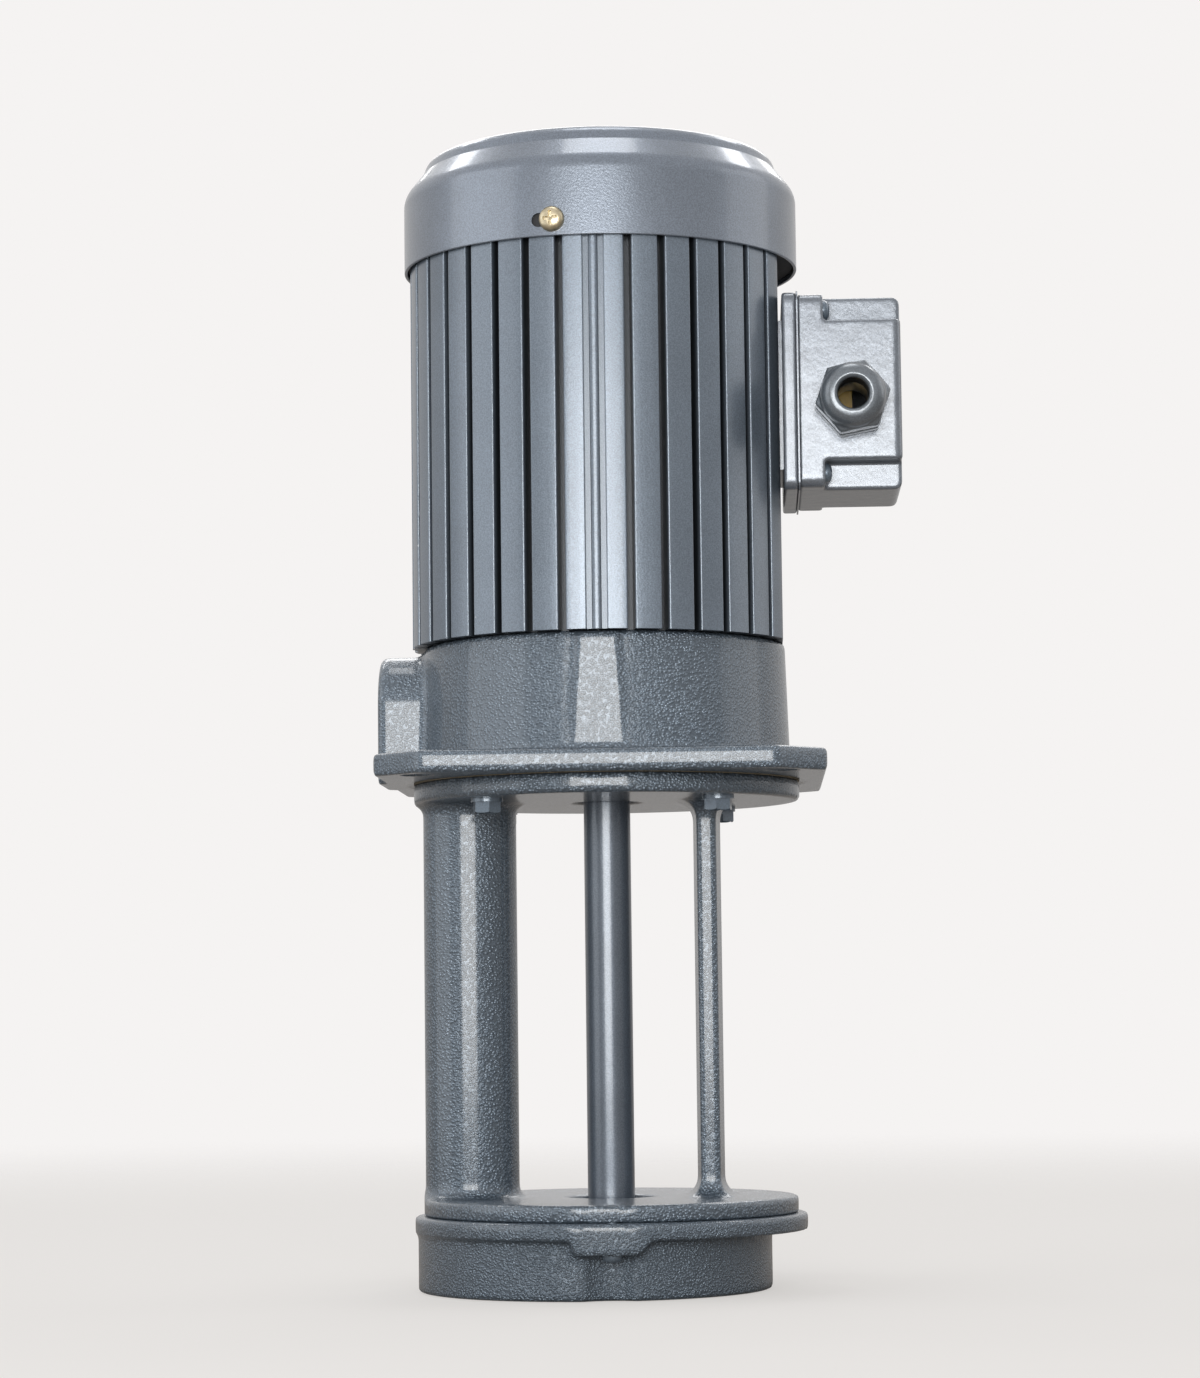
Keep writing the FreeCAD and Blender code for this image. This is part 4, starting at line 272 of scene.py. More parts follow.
class Shapes(Tree):
    """A geometry tree with named sizes, which ends as one mesh with one material."""

    def __init__(self, name):
        group = bpy.data.node_groups.new(name, "GeometryNodeTree")
        super().__init__(group)
        self.identifiers = {}
        self.start = group.nodes.new("NodeGroupInput")
        self.spots = self.named("Spots", "NodeSocketGeometry")

    def named(self, name, kind="NodeSocketFloat"):
        socket = self.tree.interface.new_socket(name=name, in_out="INPUT", socket_type=kind)
        self.identifiers[name] = socket.identifier
        return Value(self, self.start.outputs[name])

    def lathe(self, radius, height, power, steps=10, turns=40):
        """A closed dome over a flat foot; power 1 is round and more is squarer."""
        grid = self.node("GeometryNodeMeshGrid", {
            "Size X": 1.0, "Size Y": 1.0, "Vertices X": steps, "Vertices Y": turns + 1})
        spot = self.node("GeometryNodeInputPosition")
        along = (self.node("ShaderNodeSeparateXYZ", [spot], 0) + 0.5) * (math.pi / 2)
        around = (self.node("ShaderNodeSeparateXYZ", [spot], 1) + 0.5) * (2 * math.pi)
        out = along.math("SINE") ** (1 / power) * radius
        up = (along.math("COSINE").math("MAXIMUM", 0.0)) ** (1 / power) * height
        place = self.node("ShaderNodeCombineXYZ",
                          [out * around.math("COSINE"), out * around.math("SINE"), up])
        dome = self.node("GeometryNodeSetPosition", {"Geometry": grid, "Position": place})
        foot = self.node("GeometryNodeMeshCircle", {"Vertices": turns, "Radius": radius},
                         fill_type="NGON")
        whole = self.node("GeometryNodeJoinGeometry", [[dome, foot]])
        return self.node("GeometryNodeMergeByDistance",
                         {"Geometry": whole, "Distance": 0.004 * MM})

    def block(self, across, along, high, level):
        cube = self.node("GeometryNodeMeshCube", {
            "Size": self.node("ShaderNodeCombineXYZ", [across, along, high])})
        return self.raised(cube, level)

    def cylinder(self, radius, depth, level, sides=24):
        body = self.node("GeometryNodeMeshCylinder", {
            "Vertices": sides, "Radius": radius, "Depth": depth})
        return self.raised(body, level)

    def raised(self, shape, level):
        place = self.node("ShaderNodeCombineXYZ", [0.0, 0.0, level])
        return self.node("GeometryNodeTransform", {"Geometry": shape, "Translation": place})

    def on_shank(self, head):
        """The head joined with a shank, whose radius and length are inputs."""
        radius, length = self.named("Shank radius"), self.named("Shank length")
        rod = self.cylinder(radius, length, 0.1 * MM - length / 2)
        return self.node("GeometryNodeJoinGeometry", [[head, rod]])

    def less(self, solid, *cutters):
        return self.node("GeometryNodeMeshBoolean", {0: solid, 1: list(cutters)},
                         operation="DIFFERENCE", solver="EXACT")

    def shared(self, *solids):
        return self.node("GeometryNodeMeshBoolean", {1: list(solids)},
                         operation="INTERSECT", solver="EXACT")

    def finish(self, shape, material):
        """Copies of the shape on the spots, facing along their facing, as plain mesh."""
        facing = self.node("GeometryNodeInputNamedAttribute", {"Name": "facing"},
                           data_type="FLOAT_VECTOR")
        clock = self.node("GeometryNodeInputNamedAttribute", {"Name": "clock"},
                          data_type="FLOAT")
        turned = self.node("FunctionNodeAlignRotationToVector", {"Vector": facing}, axis="Z")
        copies = self.node("GeometryNodeInstanceOnPoints", {
            "Points": self.spots, "Instance": shape, "Rotation": turned})
        spin = self.node("ShaderNodeCombineXYZ", [0.0, 0.0, clock])
        copies = self.node("GeometryNodeRotateInstances", {
            "Instances": copies, "Rotation": spin, "Local Space": True})
        real = self.node("GeometryNodeRealizeInstances", {"Geometry": copies})
        done = self.node("GeometryNodeSetMaterial", {"Geometry": real, "Material": material})
        self.tree.interface.new_socket(name="Mesh", in_out="OUTPUT",
                                       socket_type="NodeSocketGeometry")
        end = self.tree.nodes.new("NodeGroupOutput")
        self.join(done, end.inputs["Mesh"])
        return self


def cross_head_screw(material):
    """A domed screw head with a cross recess over its shank."""
    s = Shapes("cross_head_screw")
    radius, height = s.named("Head radius"), s.named("Head height")
    wing, cut, depth = s.named("Recess length"), s.named("Recess width"), s.named("Recess depth")
    head = s.lathe(radius, height, 1.35)
    level = height - depth / 2 + 0.5 * MM
    tall = depth + 1 * MM
    head = s.less(head, s.block(wing, cut, tall, level), s.block(cut, wing, tall, level))
    return s.finish(s.on_shank(head), material)


def hexagon_bolt(material):
    """A hexagonal head with a chamfered crown over its shank."""
    s = Shapes("hexagon_bolt")
    flats, height = s.named("Across flats"), s.named("Head height")
    prism = s.cylinder(flats * (0.5 / math.cos(math.pi / 6)), height, height / 2, 6)
    dome = s.lathe(flats * 0.6, height * 1.02, 4.5, 16, 48)
    dome = s.node("GeometryNodeTransform", {"Geometry": dome, "Translation": (0, 0, -0.01 * MM)})
    return s.finish(s.on_shank(s.shared(prism, dome)), material)


# Paints and finishes
def painted_sheet(colour):
    """Semi-gloss paint with fine orange peel on pressed sheet."""
    g = Paint("painted_sheet")
    peel = g.noise(0.62 * MM, 1.5)
    soft = g.noise(24 * MM)
    return g.set(Base_Color=g.patched(colour, soft), Metallic=METALLIC,
                 Roughness=0.32 + 0.05 * soft, Coat_Weight=0.6, Coat_Roughness=0.12,
                 Normal=g.bump(peel, 0.06 * MM))


def painted_extrusion(colour):
    """Paint over a drawn section: lines along Z, peel, a few pale nicks and painted shade in the
    grooves.
    """
    g = Paint("painted_extrusion")
    lines = g.noise(1.0, 2.0, place=g.stretched(700.0, 9.0))
    peel = g.noise(0.6 * MM, 2.0)
    nick = g.cells(9 * MM).ramp(0.02, 0.05, 1.0, 0.0) * g.noise(30 * MM).ramp(0.54, 0.6)
    body = g.blend(nick * 0.55, g.patched(colour, g.noise(35 * MM)), srgb(196, 197, 197))
    # Painted shade: the colour darkens to 0.16 of itself in the grooves, and the coat thins
    # there
    outside_groove_shade = g.radius().ramp(GROOVE_SHADE_FULL * MM, GROOVE_SHADE_END * MM)
    body = g.blend(outside_groove_shade, times(colour, 0.16), body)
    return g.set(Base_Color=body, Metallic=METALLIC, Roughness=0.33 + 0.08 * lines,
                 Coat_Weight=0.2 + 0.3 * outside_groove_shade, Coat_Roughness=0.18,
                 Normal=g.bump(lines * 0.4 + peel, 0.05 * MM))


def painted_casting(name, colour, grain, depth):
    """Thick paint over a sand casting, with round grains; their size and depth in mm."""
    g = Paint(name)
    warped = g.noise(grain * 1.3 * MM, 3.0, 0.6)
    grains = g.cells(grain * 0.9 * MM).ramp(0.0, 0.75, 1.0, 0.0)
    height = grains * 0.55 + warped * 0.5
    patch = g.noise(26 * MM, 3.0)
    body = g.lighter(g.flaked(times(colour, 0.86), colour, patch.ramp(0.3, 0.7)), 1.18)
    # Painted shade: the colour falls to 0.7 of itself in the low hollows between the grains
    body = g.blend(height.ramp(0.3, 0.62), times(colour, 0.7), body)
    return g.set(Base_Color=body, Metallic=METALLIC, Roughness=0.28 + 0.1 * patch,
                 Coat_Weight=0.7, Coat_Roughness=0.14, Normal=g.bump(height, depth * MM))


def painted_smooth(name, colour, rough, wave, peel):
    """Thick smooth paint that runs in soft waves, with a peel; their depths in mm."""
    g = Paint(name)
    soft = g.noise(6 * MM)
    fine = g.noise(0.9 * MM)
    under = g.bump(soft, wave * MM)
    body = g.patched(colour, g.noise(22 * MM))
    return g.set(Base_Color=body, Metallic=METALLIC, Roughness=rough + 0.05 * soft,
                 Coat_Weight=0.6, Coat_Roughness=0.14, Normal=g.bump(fine, peel * MM, under))


def metal(name, colour, rough, mark=0.01):
    """Bare or plated metal with handling marks."""
    g = Paint(name)
    marks = g.noise(0.8 * MM, 3.0)
    stain = g.noise(3 * MM, 2.0)
    body = g.blend(stain.ramp(0.35, 0.7), colour, times(colour, 0.72))
    return g.set(Base_Color=body, Roughness=rough + 0.14 * marks, Metallic=1.0,
                 Normal=g.bump(marks, mark * MM))


def plain(name, colour, rough, grain=0.03):
    """Moulded or pressed stuff with a fine grain."""
    g = Paint(name)
    soft = g.noise(2.2 * MM, 3.0)
    body = g.blend(soft.ramp(0.3, 0.7), colour, times(colour, 1.2))
    return g.set(Base_Color=body, Roughness=rough + 0.1 * soft, Normal=g.bump(soft, grain * MM))


def laminated():
    """A stack of thin sheets, seen as fine lines round the core."""
    g = Paint("laminated")
    sheets = (g.axis(2) * (2 * math.pi / (0.5 * MM))).math("SINE")
    stain = g.noise(6 * MM)
    body = g.blend(stain.ramp(0.3, 0.7), srgb(108, 112, 118), srgb(132, 135, 140))
    return g.set(Base_Color=body, Metallic=0.9, Roughness=0.42 + 0.08 * stain,
                 Normal=g.bump(sheets, 0.01 * MM))


def wound():
    """Varnished wire laid round the stator's heads."""
    g = Paint("wound")
    wires = g.node("ShaderNodeTexWave", {"Vector": g.place, "Scale": 320.0, "Distortion": 5.0,
                                         "Detail": 1.0}, "Fac", bands_direction="Z")
    return g.set(Base_Color=g.blend(wires, srgb(120, 60, 32), srgb(190, 112, 70)), Metallic=0.5,
                 Roughness=0.36 + 0.05 * wires, Coat_Weight=0.5,
                 Normal=g.bump(wires, 0.15 * MM))


def floor_paint(colour, near, far):
    """Pale floor that fades out with distance, and throws little light back up."""
    g = Paint("pale_floor")
    seen = g.node("ShaderNodeLightPath", output="Is Camera Ray")
    bounced = [c * FLOOR_BOUNCE * t for c, t in zip(colour, BOUNCE_TINT)]
    g.set(Base_Color=g.blend(seen, bounced, colour), Roughness=0.9 + 0.05 * g.noise(0.2),
          Specular_IOR_Level=0.0)
    solid = Value(g, g.surface.outputs[0])
    pale = g.node("ShaderNodeEmission", [(*colour, 1.0), 1.0])
    evened = g.node("ShaderNodeMixShader", [seen * FLOOR_GLOW, solid, pale])
    clear = g.node("ShaderNodeBsdfTransparent")
    g.join(g.node("ShaderNodeMixShader", [g.radius().ramp(near, far), evened, clear]),
           g.end.inputs[0])
    return g.material


FINISHES = {}
SLOT_FINISHES = {
    "painted_steel": "sheet", "painted_aluminium": "extrusion", "painted_casting": "casting",
    "painted_brass": "gland", "painted_fastener": "fastener", "yellow_zinc": "zinc",
    "painted_shaft": "shaft", "bare_steel": "steel", "lamination": "lamination",
    "copper": "copper", "aluminium": "aluminium", "black_plastic": "black",
    "brown_plastic": "brown", "seal_rubber": "rubber", "gasket_paper": "paper",
    "grey_iron": "iron",
}


def mix_finishes(pump):
    """Makes every finish once, in the colours of the pump's settings."""
    FINISHES.update({
        "sheet": painted_sheet(pump.sheet_colour),
        "extrusion": painted_extrusion(pump.fin_colour),
        "casting": painted_casting("painted_casting", pump.casting_colour, 1.0,
                                   pump.casting_depth / MM),
        "rough": painted_casting("painted_rough_casting", pump.casting_colour, 0.8,
                                 pump.casting_depth / MM * 1.2),
        "diecast": painted_smooth("painted_diecast", pump.box_colour, 0.32, 0.24, 0.05),
        "gland": painted_smooth("painted_brass", pump.gland_colour, 0.3, 0.1, 0.03),
        "fastener": painted_smooth("painted_fastener", pump.casting_colour, 0.34, 0.1, 0.06),
        "shaft": painted_smooth("painted_shaft", pump.shaft_colour, 0.34, 0.05, 0.03),
        "zinc": metal("yellow_zinc", srgb(206, 194, 166), 0.3, 0.02),
        "steel": metal("bare_steel", srgb(196, 198, 200), 0.25),
        "lamination": laminated(), "copper": wound(),
        "aluminium": metal("cast_aluminium", srgb(200, 202, 205), 0.4),
        "black": plain("black_plastic", srgb(36, 37, 39), 0.5),
        "brown": plain("brown_plastic", srgb(150, 120, 24), 0.4),
        "rubber": plain("seal_rubber", srgb(30, 31, 32), 0.65),
        "paper": plain("gasket_paper", srgb(120, 112, 96), 0.85),
        "iron": plain("grey_iron", srgb(112, 113, 116), 0.5, 0.1),
        # Near-black end shield seen through the vents: painted shade in the vents
        "dark": plain("dark_casting", srgb(34, 35, 37), 0.6, 0.1),
    })


# Meshes
def linked(name, data):
    made = bpy.data.objects.new(name, data)
    bpy.context.scene.collection.objects.link(made)
    return made


def coat(obj, material):
    obj.data.materials.clear()
    obj.data.materials.append(material)


def shade(mesh, degrees):
    """Smooth faces, with an edge kept sharp where its faces turn by more than that."""
    work = bmesh.new()
    work.from_mesh(mesh)
    bmesh.ops.recalc_face_normals(work, faces=work.faces)
    limit = math.radians(degrees)
    for face in work.faces:
        face.smooth = True
    for edge in work.edges:
        edge.smooth = len(edge.link_faces) == 2 and edge.calc_face_angle(0.0) < limit
    work.to_mesh(mesh)
    work.free()


def merged(node, whole=True):
    """A copy of the node's mesh with its corners joined, and its flat faces whole."""
    mesh = NODES[node].data.copy()
    work = bmesh.new()
    work.from_mesh(mesh)
    bmesh.ops.remove_doubles(work, verts=work.verts, dist=2e-6)
    if whole:
        bmesh.ops.dissolve_limit(work, angle_limit=math.radians(0.4), verts=work.verts,
                                 edges=work.edges)
    work.to_mesh(mesh)
    work.free()
    return mesh


def evaluated(obj):
    """The object's mesh with its modifiers worked in; the object goes."""
    graph = bpy.context.evaluated_depsgraph_get()
    mesh = bpy.data.meshes.new_from_object(obj.evaluated_get(graph))
    bpy.data.objects.remove(obj)
    return mesh


def cast_skin(node, voxel, rounds):
    """The node's shape with every edge softened, as sand casting and thick paint leave it."""
    work = linked("work", merged(node, whole=False))
    remesh = work.modifiers.new("skin", "REMESH")
    remesh.mode = "VOXEL"
    remesh.voxel_size = voxel
    smooth = work.modifiers.new("soften", "SMOOTH")
    smooth.factor = 0.5
    smooth.iterations = rounds
    thin = work.modifiers.new("thin", "DECIMATE")
    thin.ratio = SKIN_SHARE
    return evaluated(work)


def edged(node, width, beyond=None):
    """The node's shape with its sharp edges rounded, or only those upright beyond a radius."""
    mesh = merged(node)
    work = bmesh.new()
    work.from_mesh(mesh)
    sharp = []
    for edge in work.edges:
        if len(edge.link_faces) == 2 and edge.calc_face_angle(0.0) > math.radians(SHARP_TURN):
            first, second = edge.verts[0].co, edge.verts[1].co
            upright = abs(first.z - second.z) > 0.9 * (first - second).length
            if beyond is None or (upright and first.xy.length > beyond):
                sharp.append(edge)
    bmesh.ops.bevel(work, geom=sharp, offset=width, offset_type="OFFSET", segments=EDGE_STEPS,
                    profile=0.5, affect="EDGES", clamp_overlap=beyond is None,
                    miter_outer="ARC")
    work.to_mesh(mesh)
    work.free()
    return mesh


def flattened(mesh):
    """The mesh with its light bent only in its narrow roundings, not over its wide faces."""
    work = linked("work", mesh)
    weigh = work.modifiers.new("weigh", "WEIGHTED_NORMAL")
    weigh.keep_sharp = True
    weigh.weight = 100
    return evaluated(work)


def show(name, mesh, body, material, degrees, node, flat=False):
    """A finished piece on its body, in place of its node."""
    shade(mesh, degrees)
    if flat:
        mesh = flattened(mesh)
    made = linked(name, mesh)
    coat(made, material)
    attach(made, body)
    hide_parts(node)
    return made


def islands(node):
    """The box of each separate solid in a node, as pairs of corners."""
    work = bmesh.new()
    work.from_mesh(merged(node))
    left = set(work.verts)
    boxes = []
    while left:
        heap = [left.pop()]
        found = []
        while heap:
            vert = heap.pop()
            found.append(vert.co.copy())
            for edge in vert.link_edges:
                other = edge.other_vert(vert)
                if other in left:
                    left.remove(other)
                    heap.append(other)
        boxes.append((Vector([min(v[i] for v in found) for i in range(3)]),
                      Vector([max(v[i] for v in found) for i in range(3)])))
    work.free()
    return sorted(boxes, key=lambda pair: tuple(round(v, 5) for v in pair[0]))


def head_spots(node, axis, sign, depth, first, step):
    """A spot for each screw of a node: its head's seat, its facing and its turn."""
    way = Vector((0, 0, 0))
    way[axis] = sign
    spots = []
    for i, (low, high) in enumerate(islands(node)):
        place = (low + high) / 2
        place[axis] = high[axis] - depth * MM if sign > 0 else low[axis] + depth * MM
        spots.append((place, way, first + step * i))
    return spots


def grown(name, tree, spots, sizes, node):
    """Copies of a tree's shape on the spots, as one plain mesh in place of the node."""
    points = bpy.data.meshes.new(name)
    points.from_pydata([place for place, _, _ in spots], [], [])
    points.attributes.new("facing", "FLOAT_VECTOR", "POINT")
    points.attributes.new("clock", "FLOAT", "POINT")
    for i, (_, way, turn) in enumerate(spots):
        points.attributes["facing"].data[i].vector = way
        points.attributes["clock"].data[i].value = turn
    work = linked(name + "_spots", points)
    nodes_modifier = work.modifiers.new("shapes", "NODES")
    nodes_modifier.node_group = tree.tree
    for label, value in sizes.items():
        nodes_modifier[tree.identifiers[label]] = value
    mesh = evaluated(work)
    if not mesh.polygons:
        raise RuntimeError(name + " has no faces")
    material = next(m for m in mesh.materials if m)
    return show(name, mesh, "root", material, 35.0, node)


def turned_path(points):
    """A closed path of (radius, height, rounding) corners, with its corners rounded."""
    path = []
    count = len(points)
    for i, (r, z, rounding) in enumerate(points):
        here = Vector((r, z))
        if rounding <= 0:
            path.append(here)
            continue
        before = (Vector(points[i - 1][:2]) - here).normalized()
        after = (Vector(points[(i + 1) % count][:2]) - here).normalized()
        half = before.angle(after) / 2
        reach = rounding / math.tan(half)
        centre = here + (before + after).normalized() * (rounding / math.sin(half))
        start = here + before * reach - centre
        end = here + after * reach - centre
        sweep = start.angle_signed(end)
        for k in range(CORNER_STEPS + 1):
            turn = -sweep * k / CORNER_STEPS
            x = start.x * math.cos(turn) - start.y * math.sin(turn)
            y = start.x * math.sin(turn) + start.y * math.cos(turn)
            path.append(centre + Vector((x, y)))
    return path


def lathed(path, turns):
    """A solid of revolution about Z from a path that starts and ends on the axis."""
    work = bmesh.new()
    rings = []
    for point in path:
        if point.x < 1e-7:
            rings.append([work.verts.new((0, 0, point.y))])
        else:
            rings.append([work.verts.new((point.x * math.cos(2 * math.pi * k / turns),
                                          point.x * math.sin(2 * math.pi * k / turns), point.y))
                          for k in range(turns)])
    for first, second in zip(rings, rings[1:]):
        for k in range(turns):
            corners = [first[k % len(first)], first[(k + 1) % len(first)],
                       second[(k + 1) % len(second)], second[k % len(second)]]
            corners = list(dict.fromkeys(corners))
            if len(corners) > 2:
                work.faces.new(corners)
    bmesh.ops.recalc_face_normals(work, faces=work.faces)
    mesh = bpy.data.meshes.new("lathed")
    work.to_mesh(mesh)
    work.free()
    return mesh


def prism(outline, place, depth):
    """A closed outline in a plane, grown by depth along the plane's own Z."""
    work = bmesh.new()
    low = [work.verts.new(place @ Vector((x, y, 0))) for x, y in outline]
    high = [work.verts.new(place @ Vector((x, y, depth))) for x, y in outline]
    count = len(low)
    work.faces.new(low)
    work.faces.new(high[::-1])
    for k in range(count):
        work.faces.new([low[k], low[(k + 1) % count], high[(k + 1) % count], high[k]])
    bmesh.ops.recalc_face_normals(work, faces=work.faces)
    mesh = bpy.data.meshes.new("prism")
    work.to_mesh(mesh)
    work.free()
    return mesh


def without(mesh, cutters):
    """The mesh with the cutters' meshes taken out of it."""
    work = bmesh.new()
    for cutter in cutters:
        work.from_mesh(cutter)
    tools = bpy.data.meshes.new("tools")
    work.to_mesh(tools)
    work.free()
    solid, tool = linked("work", mesh), linked("tool", tools)
    cut = solid.modifiers.new("cut", "BOOLEAN")
    cut.operation = "DIFFERENCE"
    cut.solver = "EXACT"
    cut.object = tool
    left = evaluated(solid)
    bpy.data.objects.remove(tool)
    return left


# Settings that a user would change
class PumpSettings(bpy.types.PropertyGroup):
    sheet_colour: FloatVectorProperty(
        name="Fan cover", description="Paint of the pressed fan cover", subtype="COLOR",
        default=srgb(110, 118, 129), min=0.0, max=1.0)
    fin_colour: FloatVectorProperty(
        name="Fins", description="Paint of the finned housing", subtype="COLOR",
        default=srgb(98, 108, 119), min=0.0, max=1.0)
    casting_colour: FloatVectorProperty(
        name="Castings", description="Paint of the rough castings", subtype="COLOR",
        default=srgb(95, 107, 119), min=0.0, max=1.0)
    box_colour: FloatVectorProperty(
        name="Terminal box", description="Paint of the terminal box", subtype="COLOR",
        default=srgb(108, 114, 122), min=0.0, max=1.0)
    gland_colour: FloatVectorProperty(
        name="Gland", description="Paint of the cable gland", subtype="COLOR",
        default=srgb(98, 104, 110), min=0.0, max=1.0)
    shaft_colour: FloatVectorProperty(
        name="Shaft", description="Paint of the bare shaft", subtype="COLOR",
        default=srgb(88, 96, 106), min=0.0, max=1.0)
    casting_depth: FloatProperty(
        name="Casting grain", description="Depth of the castings' grain", subtype="DISTANCE",
        unit="LENGTH", default=0.5 * MM, min=0.0, max=2 * MM)
    skin_voxel: FloatProperty(
        name="Casting skin", description="Finest form that a casting's skin keeps",
        subtype="DISTANCE", unit="LENGTH", default=0.9 * MM, min=0.4 * MM, max=3 * MM)
    skin_rounds: IntProperty(
        name="Casting softness", description="How many times a casting's skin is evened out",
        default=5, min=0, max=40)
    edge_width: FloatProperty(
        name="Edge rounding", description="Rounding of drawn and turned edges",
        subtype="DISTANCE", unit="LENGTH", default=0.55 * MM, min=0.0, max=1 * MM)
    cover_turns: IntProperty(
        name="Fan cover segments", description="Segments round the fan cover",
        default=216, min=48, max=360)


class StageSettings(bpy.types.PropertyGroup):
    floor_colour: FloatVectorProperty(
        name="Floor", description="Colour of the plain floor", subtype="COLOR",
        default=srgb(238, 235, 232), min=0.0, max=1.0)
    back_colour: FloatVectorProperty(
        name="Background", description="Colour behind the pump", subtype="COLOR",
        default=srgb(245, 243, 242), min=0.0, max=1.0)
    distance: FloatProperty(
        name="Camera distance", description="From the pump's axis to the camera",
        subtype="DISTANCE", unit="LENGTH", default=1.19, min=0.3, max=5.0)
    height: FloatProperty(
        name="Camera height", description="Camera height above the flange's underside",
        subtype="DISTANCE", unit="LENGTH", default=-0.075, min=-1.0, max=1.0)
    pitch: FloatProperty(
        name="Camera pitch", description="How far the camera looks up", subtype="ANGLE",
        unit="ROTATION", default=math.radians(5.08), min=-1.5, max=1.5)
    turn: FloatProperty(
        name="Camera turn", description="How far round the pump the camera stands",
        subtype="ANGLE", unit="ROTATION", default=math.radians(2.2), min=-3.2, max=3.2)


# Operators, one for each piece or group of like pieces
class PUMP_OT_finishes(bpy.types.Operator):
    """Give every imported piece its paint, metal, plastic or rubber"""
    bl_idname = "pump.finishes"
    bl_label = "Finishes"

    def execute(self, context):
        mix_finishes(context.scene.pump)
        for row in frame["record"]["subparts"]:
            coat(NODES[row["node"]], FINISHES[SLOT_FINISHES[row["material_slot"]]])
        # Painted shade: the end shield, seen only through the vents, is coated near-black
        coat(NODES["upper_end_shield"], FINISHES["dark"])
        return {"FINISHED"}


class PUMP_OT_fan_cover(bpy.types.Operator):
    """Turn the pressed fan cover and cut its screw slots and air vents"""
    bl_idname = "pump.fan_cover"
    bl_label = "Fan cover"

    def execute(self, context):
        low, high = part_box("fan_cover")
        top, foot = high.z / MM, low.z / MM
        cap = lathed(self.section(top, foot), context.scene.pump.cover_turns)
        mesh = without(cap, self.slots() + self.vents(top))
        show("fan_cover_pressed", mesh, "root", FINISHES["sheet"], 40.0, "fan_cover", flat=True)
        return {"FINISHED"}

    def section(self, top, foot):
        """The cap's section: out over the crown, down the wall, and back inside."""
        wall, shoulder, rim = foot + COVER_WALL, top - COVER_RISE, COVER_RIM
        corners = [(0, top, 0), (CROWN_RADIUS, top, 4.0), (SHOULDER_RADIUS, shoulder, 1.6),
                   (rim, wall, 8.0), (rim, foot, 0.35), (rim - COVER_SHEET, foot, 0.35),
                   (rim - COVER_SHEET, wall - 0.5, 7.0),
                   (SHOULDER_RADIUS - COVER_SHEET, shoulder - 0.5, 2.4),
                   (CROWN_RADIUS - COVER_SHEET, top - COVER_SHEET, 3.0),
                   (0, top - COVER_SHEET, 0)]
        return turned_path([(r * MM, z * MM, c * MM) for r, z, c in corners])

    def slots(self):
        """Cutters for the long holes that the screws sit in, at the screws' own places."""
        screws = islands("fan_cover_screws")
        level = sum(a.z + b.z for a, b in screws) / (2 * len(screws))
        outline = []
        for cx, start in ((SLOT_REACH - SLOT_BEND, -90), (-(SLOT_REACH - SLOT_BEND), 90)):
            for k in range(SLOT_ARC_STEPS + 1):
                turn = math.radians(start + 180 * k / SLOT_ARC_STEPS)
                outline.append(((cx + SLOT_SHIFT + SLOT_BEND * math.cos(turn)) * MM,
                                SLOT_HALF_WIDTH * math.sin(turn) * MM))
        cutters = []
        for low, high in screws:
            middle = (low + high) / 2
            facing = math.atan2(middle.y, middle.x)
            place = (Matrix.Rotation(facing + math.pi / 2, 4, "Z")
                     @ Matrix.Translation((0, -(COVER_RIM + 1) * MM, level))
                     @ Matrix.Rotation(math.radians(90), 4, "X")
                     @ Matrix.Translation((0, 0, (1 - CUT_DEPTH) * MM)))
            cutters.append(prism(outline, place, CUT_DEPTH * MM))
        return cutters

    def vents(self, top):
        """Cutters for the air vents, which widen outwards round the crown."""
        outline = [(x * MM, y * MM) for x, y in (
            (VENT_START, -VENT_NARROW), (VENT_END, -VENT_WIDE),
            (VENT_END, VENT_WIDE), (VENT_START, VENT_NARROW))]
        level = Matrix.Translation((0, 0, (top - 3) * MM))
        return [prism(outline, Matrix.Rotation(math.radians(360 * k / VENTS + VENT_TURN), 4, "Z")
                      @ level, CUT_DEPTH * MM) for k in range(VENTS)]


class PUMP_OT_cover_screws(bpy.types.Operator):
    """Grow the plated cross-head screws that hold the fan cover"""
    bl_idname = "pump.cover_screws"
    bl_label = "Fan cover screws"

    def execute(self, context):
        tree = cross_head_screw(FINISHES["zinc"])
        spots = []
        for i, (low, high) in enumerate(islands("fan_cover_screws")):
            middle = (low + high) / 2
            way = Vector((middle.x, middle.y, 0)).normalized()
            place = way * ((COVER_RIM + 0.05) * MM) + Vector((0, 0, middle.z))
            spots.append((place, way, 0.62 + 0.8 * i))
        sizes = in_mm(head_radius=4, head_height=2.6, recess_length=4.6, recess_width=1.05,
                      recess_depth=1.6, shank_radius=2, shank_length=5)
        grown("fan_cover_pan_screws", tree, spots, sizes, "fan_cover_screws")
        return {"FINISHED"}


class PUMP_OT_housing(bpy.types.Operator):
    """Round the fins' long edges on the drawn housing, and make its beads shallow"""
    bl_idname = "pump.housing"
    bl_label = "Finned housing"

    def execute(self, context):
        mesh = edged("motor_housing", context.scene.pump.edge_width, FIN_EDGE_RADIUS * MM)
        reach, floor, side = BEAD_REACH * MM, BEAD_FLOOR * MM, BEAD_HALF_WIDTH * MM
        for vert in mesh.vertices:
            for i in (0, 1):
                near, across = abs(vert.co[i]), abs(vert.co[1 - i])
                if across < side and floor < near < reach:
                    shallow = reach - BEAD_SHARE * (reach - near)
                    vert.co[i] = math.copysign(shallow, vert.co[i])
        show("motor_housing_fins", mesh, "root", FINISHES["extrusion"], 50.0, "motor_housing",
             flat=True)
        return {"FINISHED"}


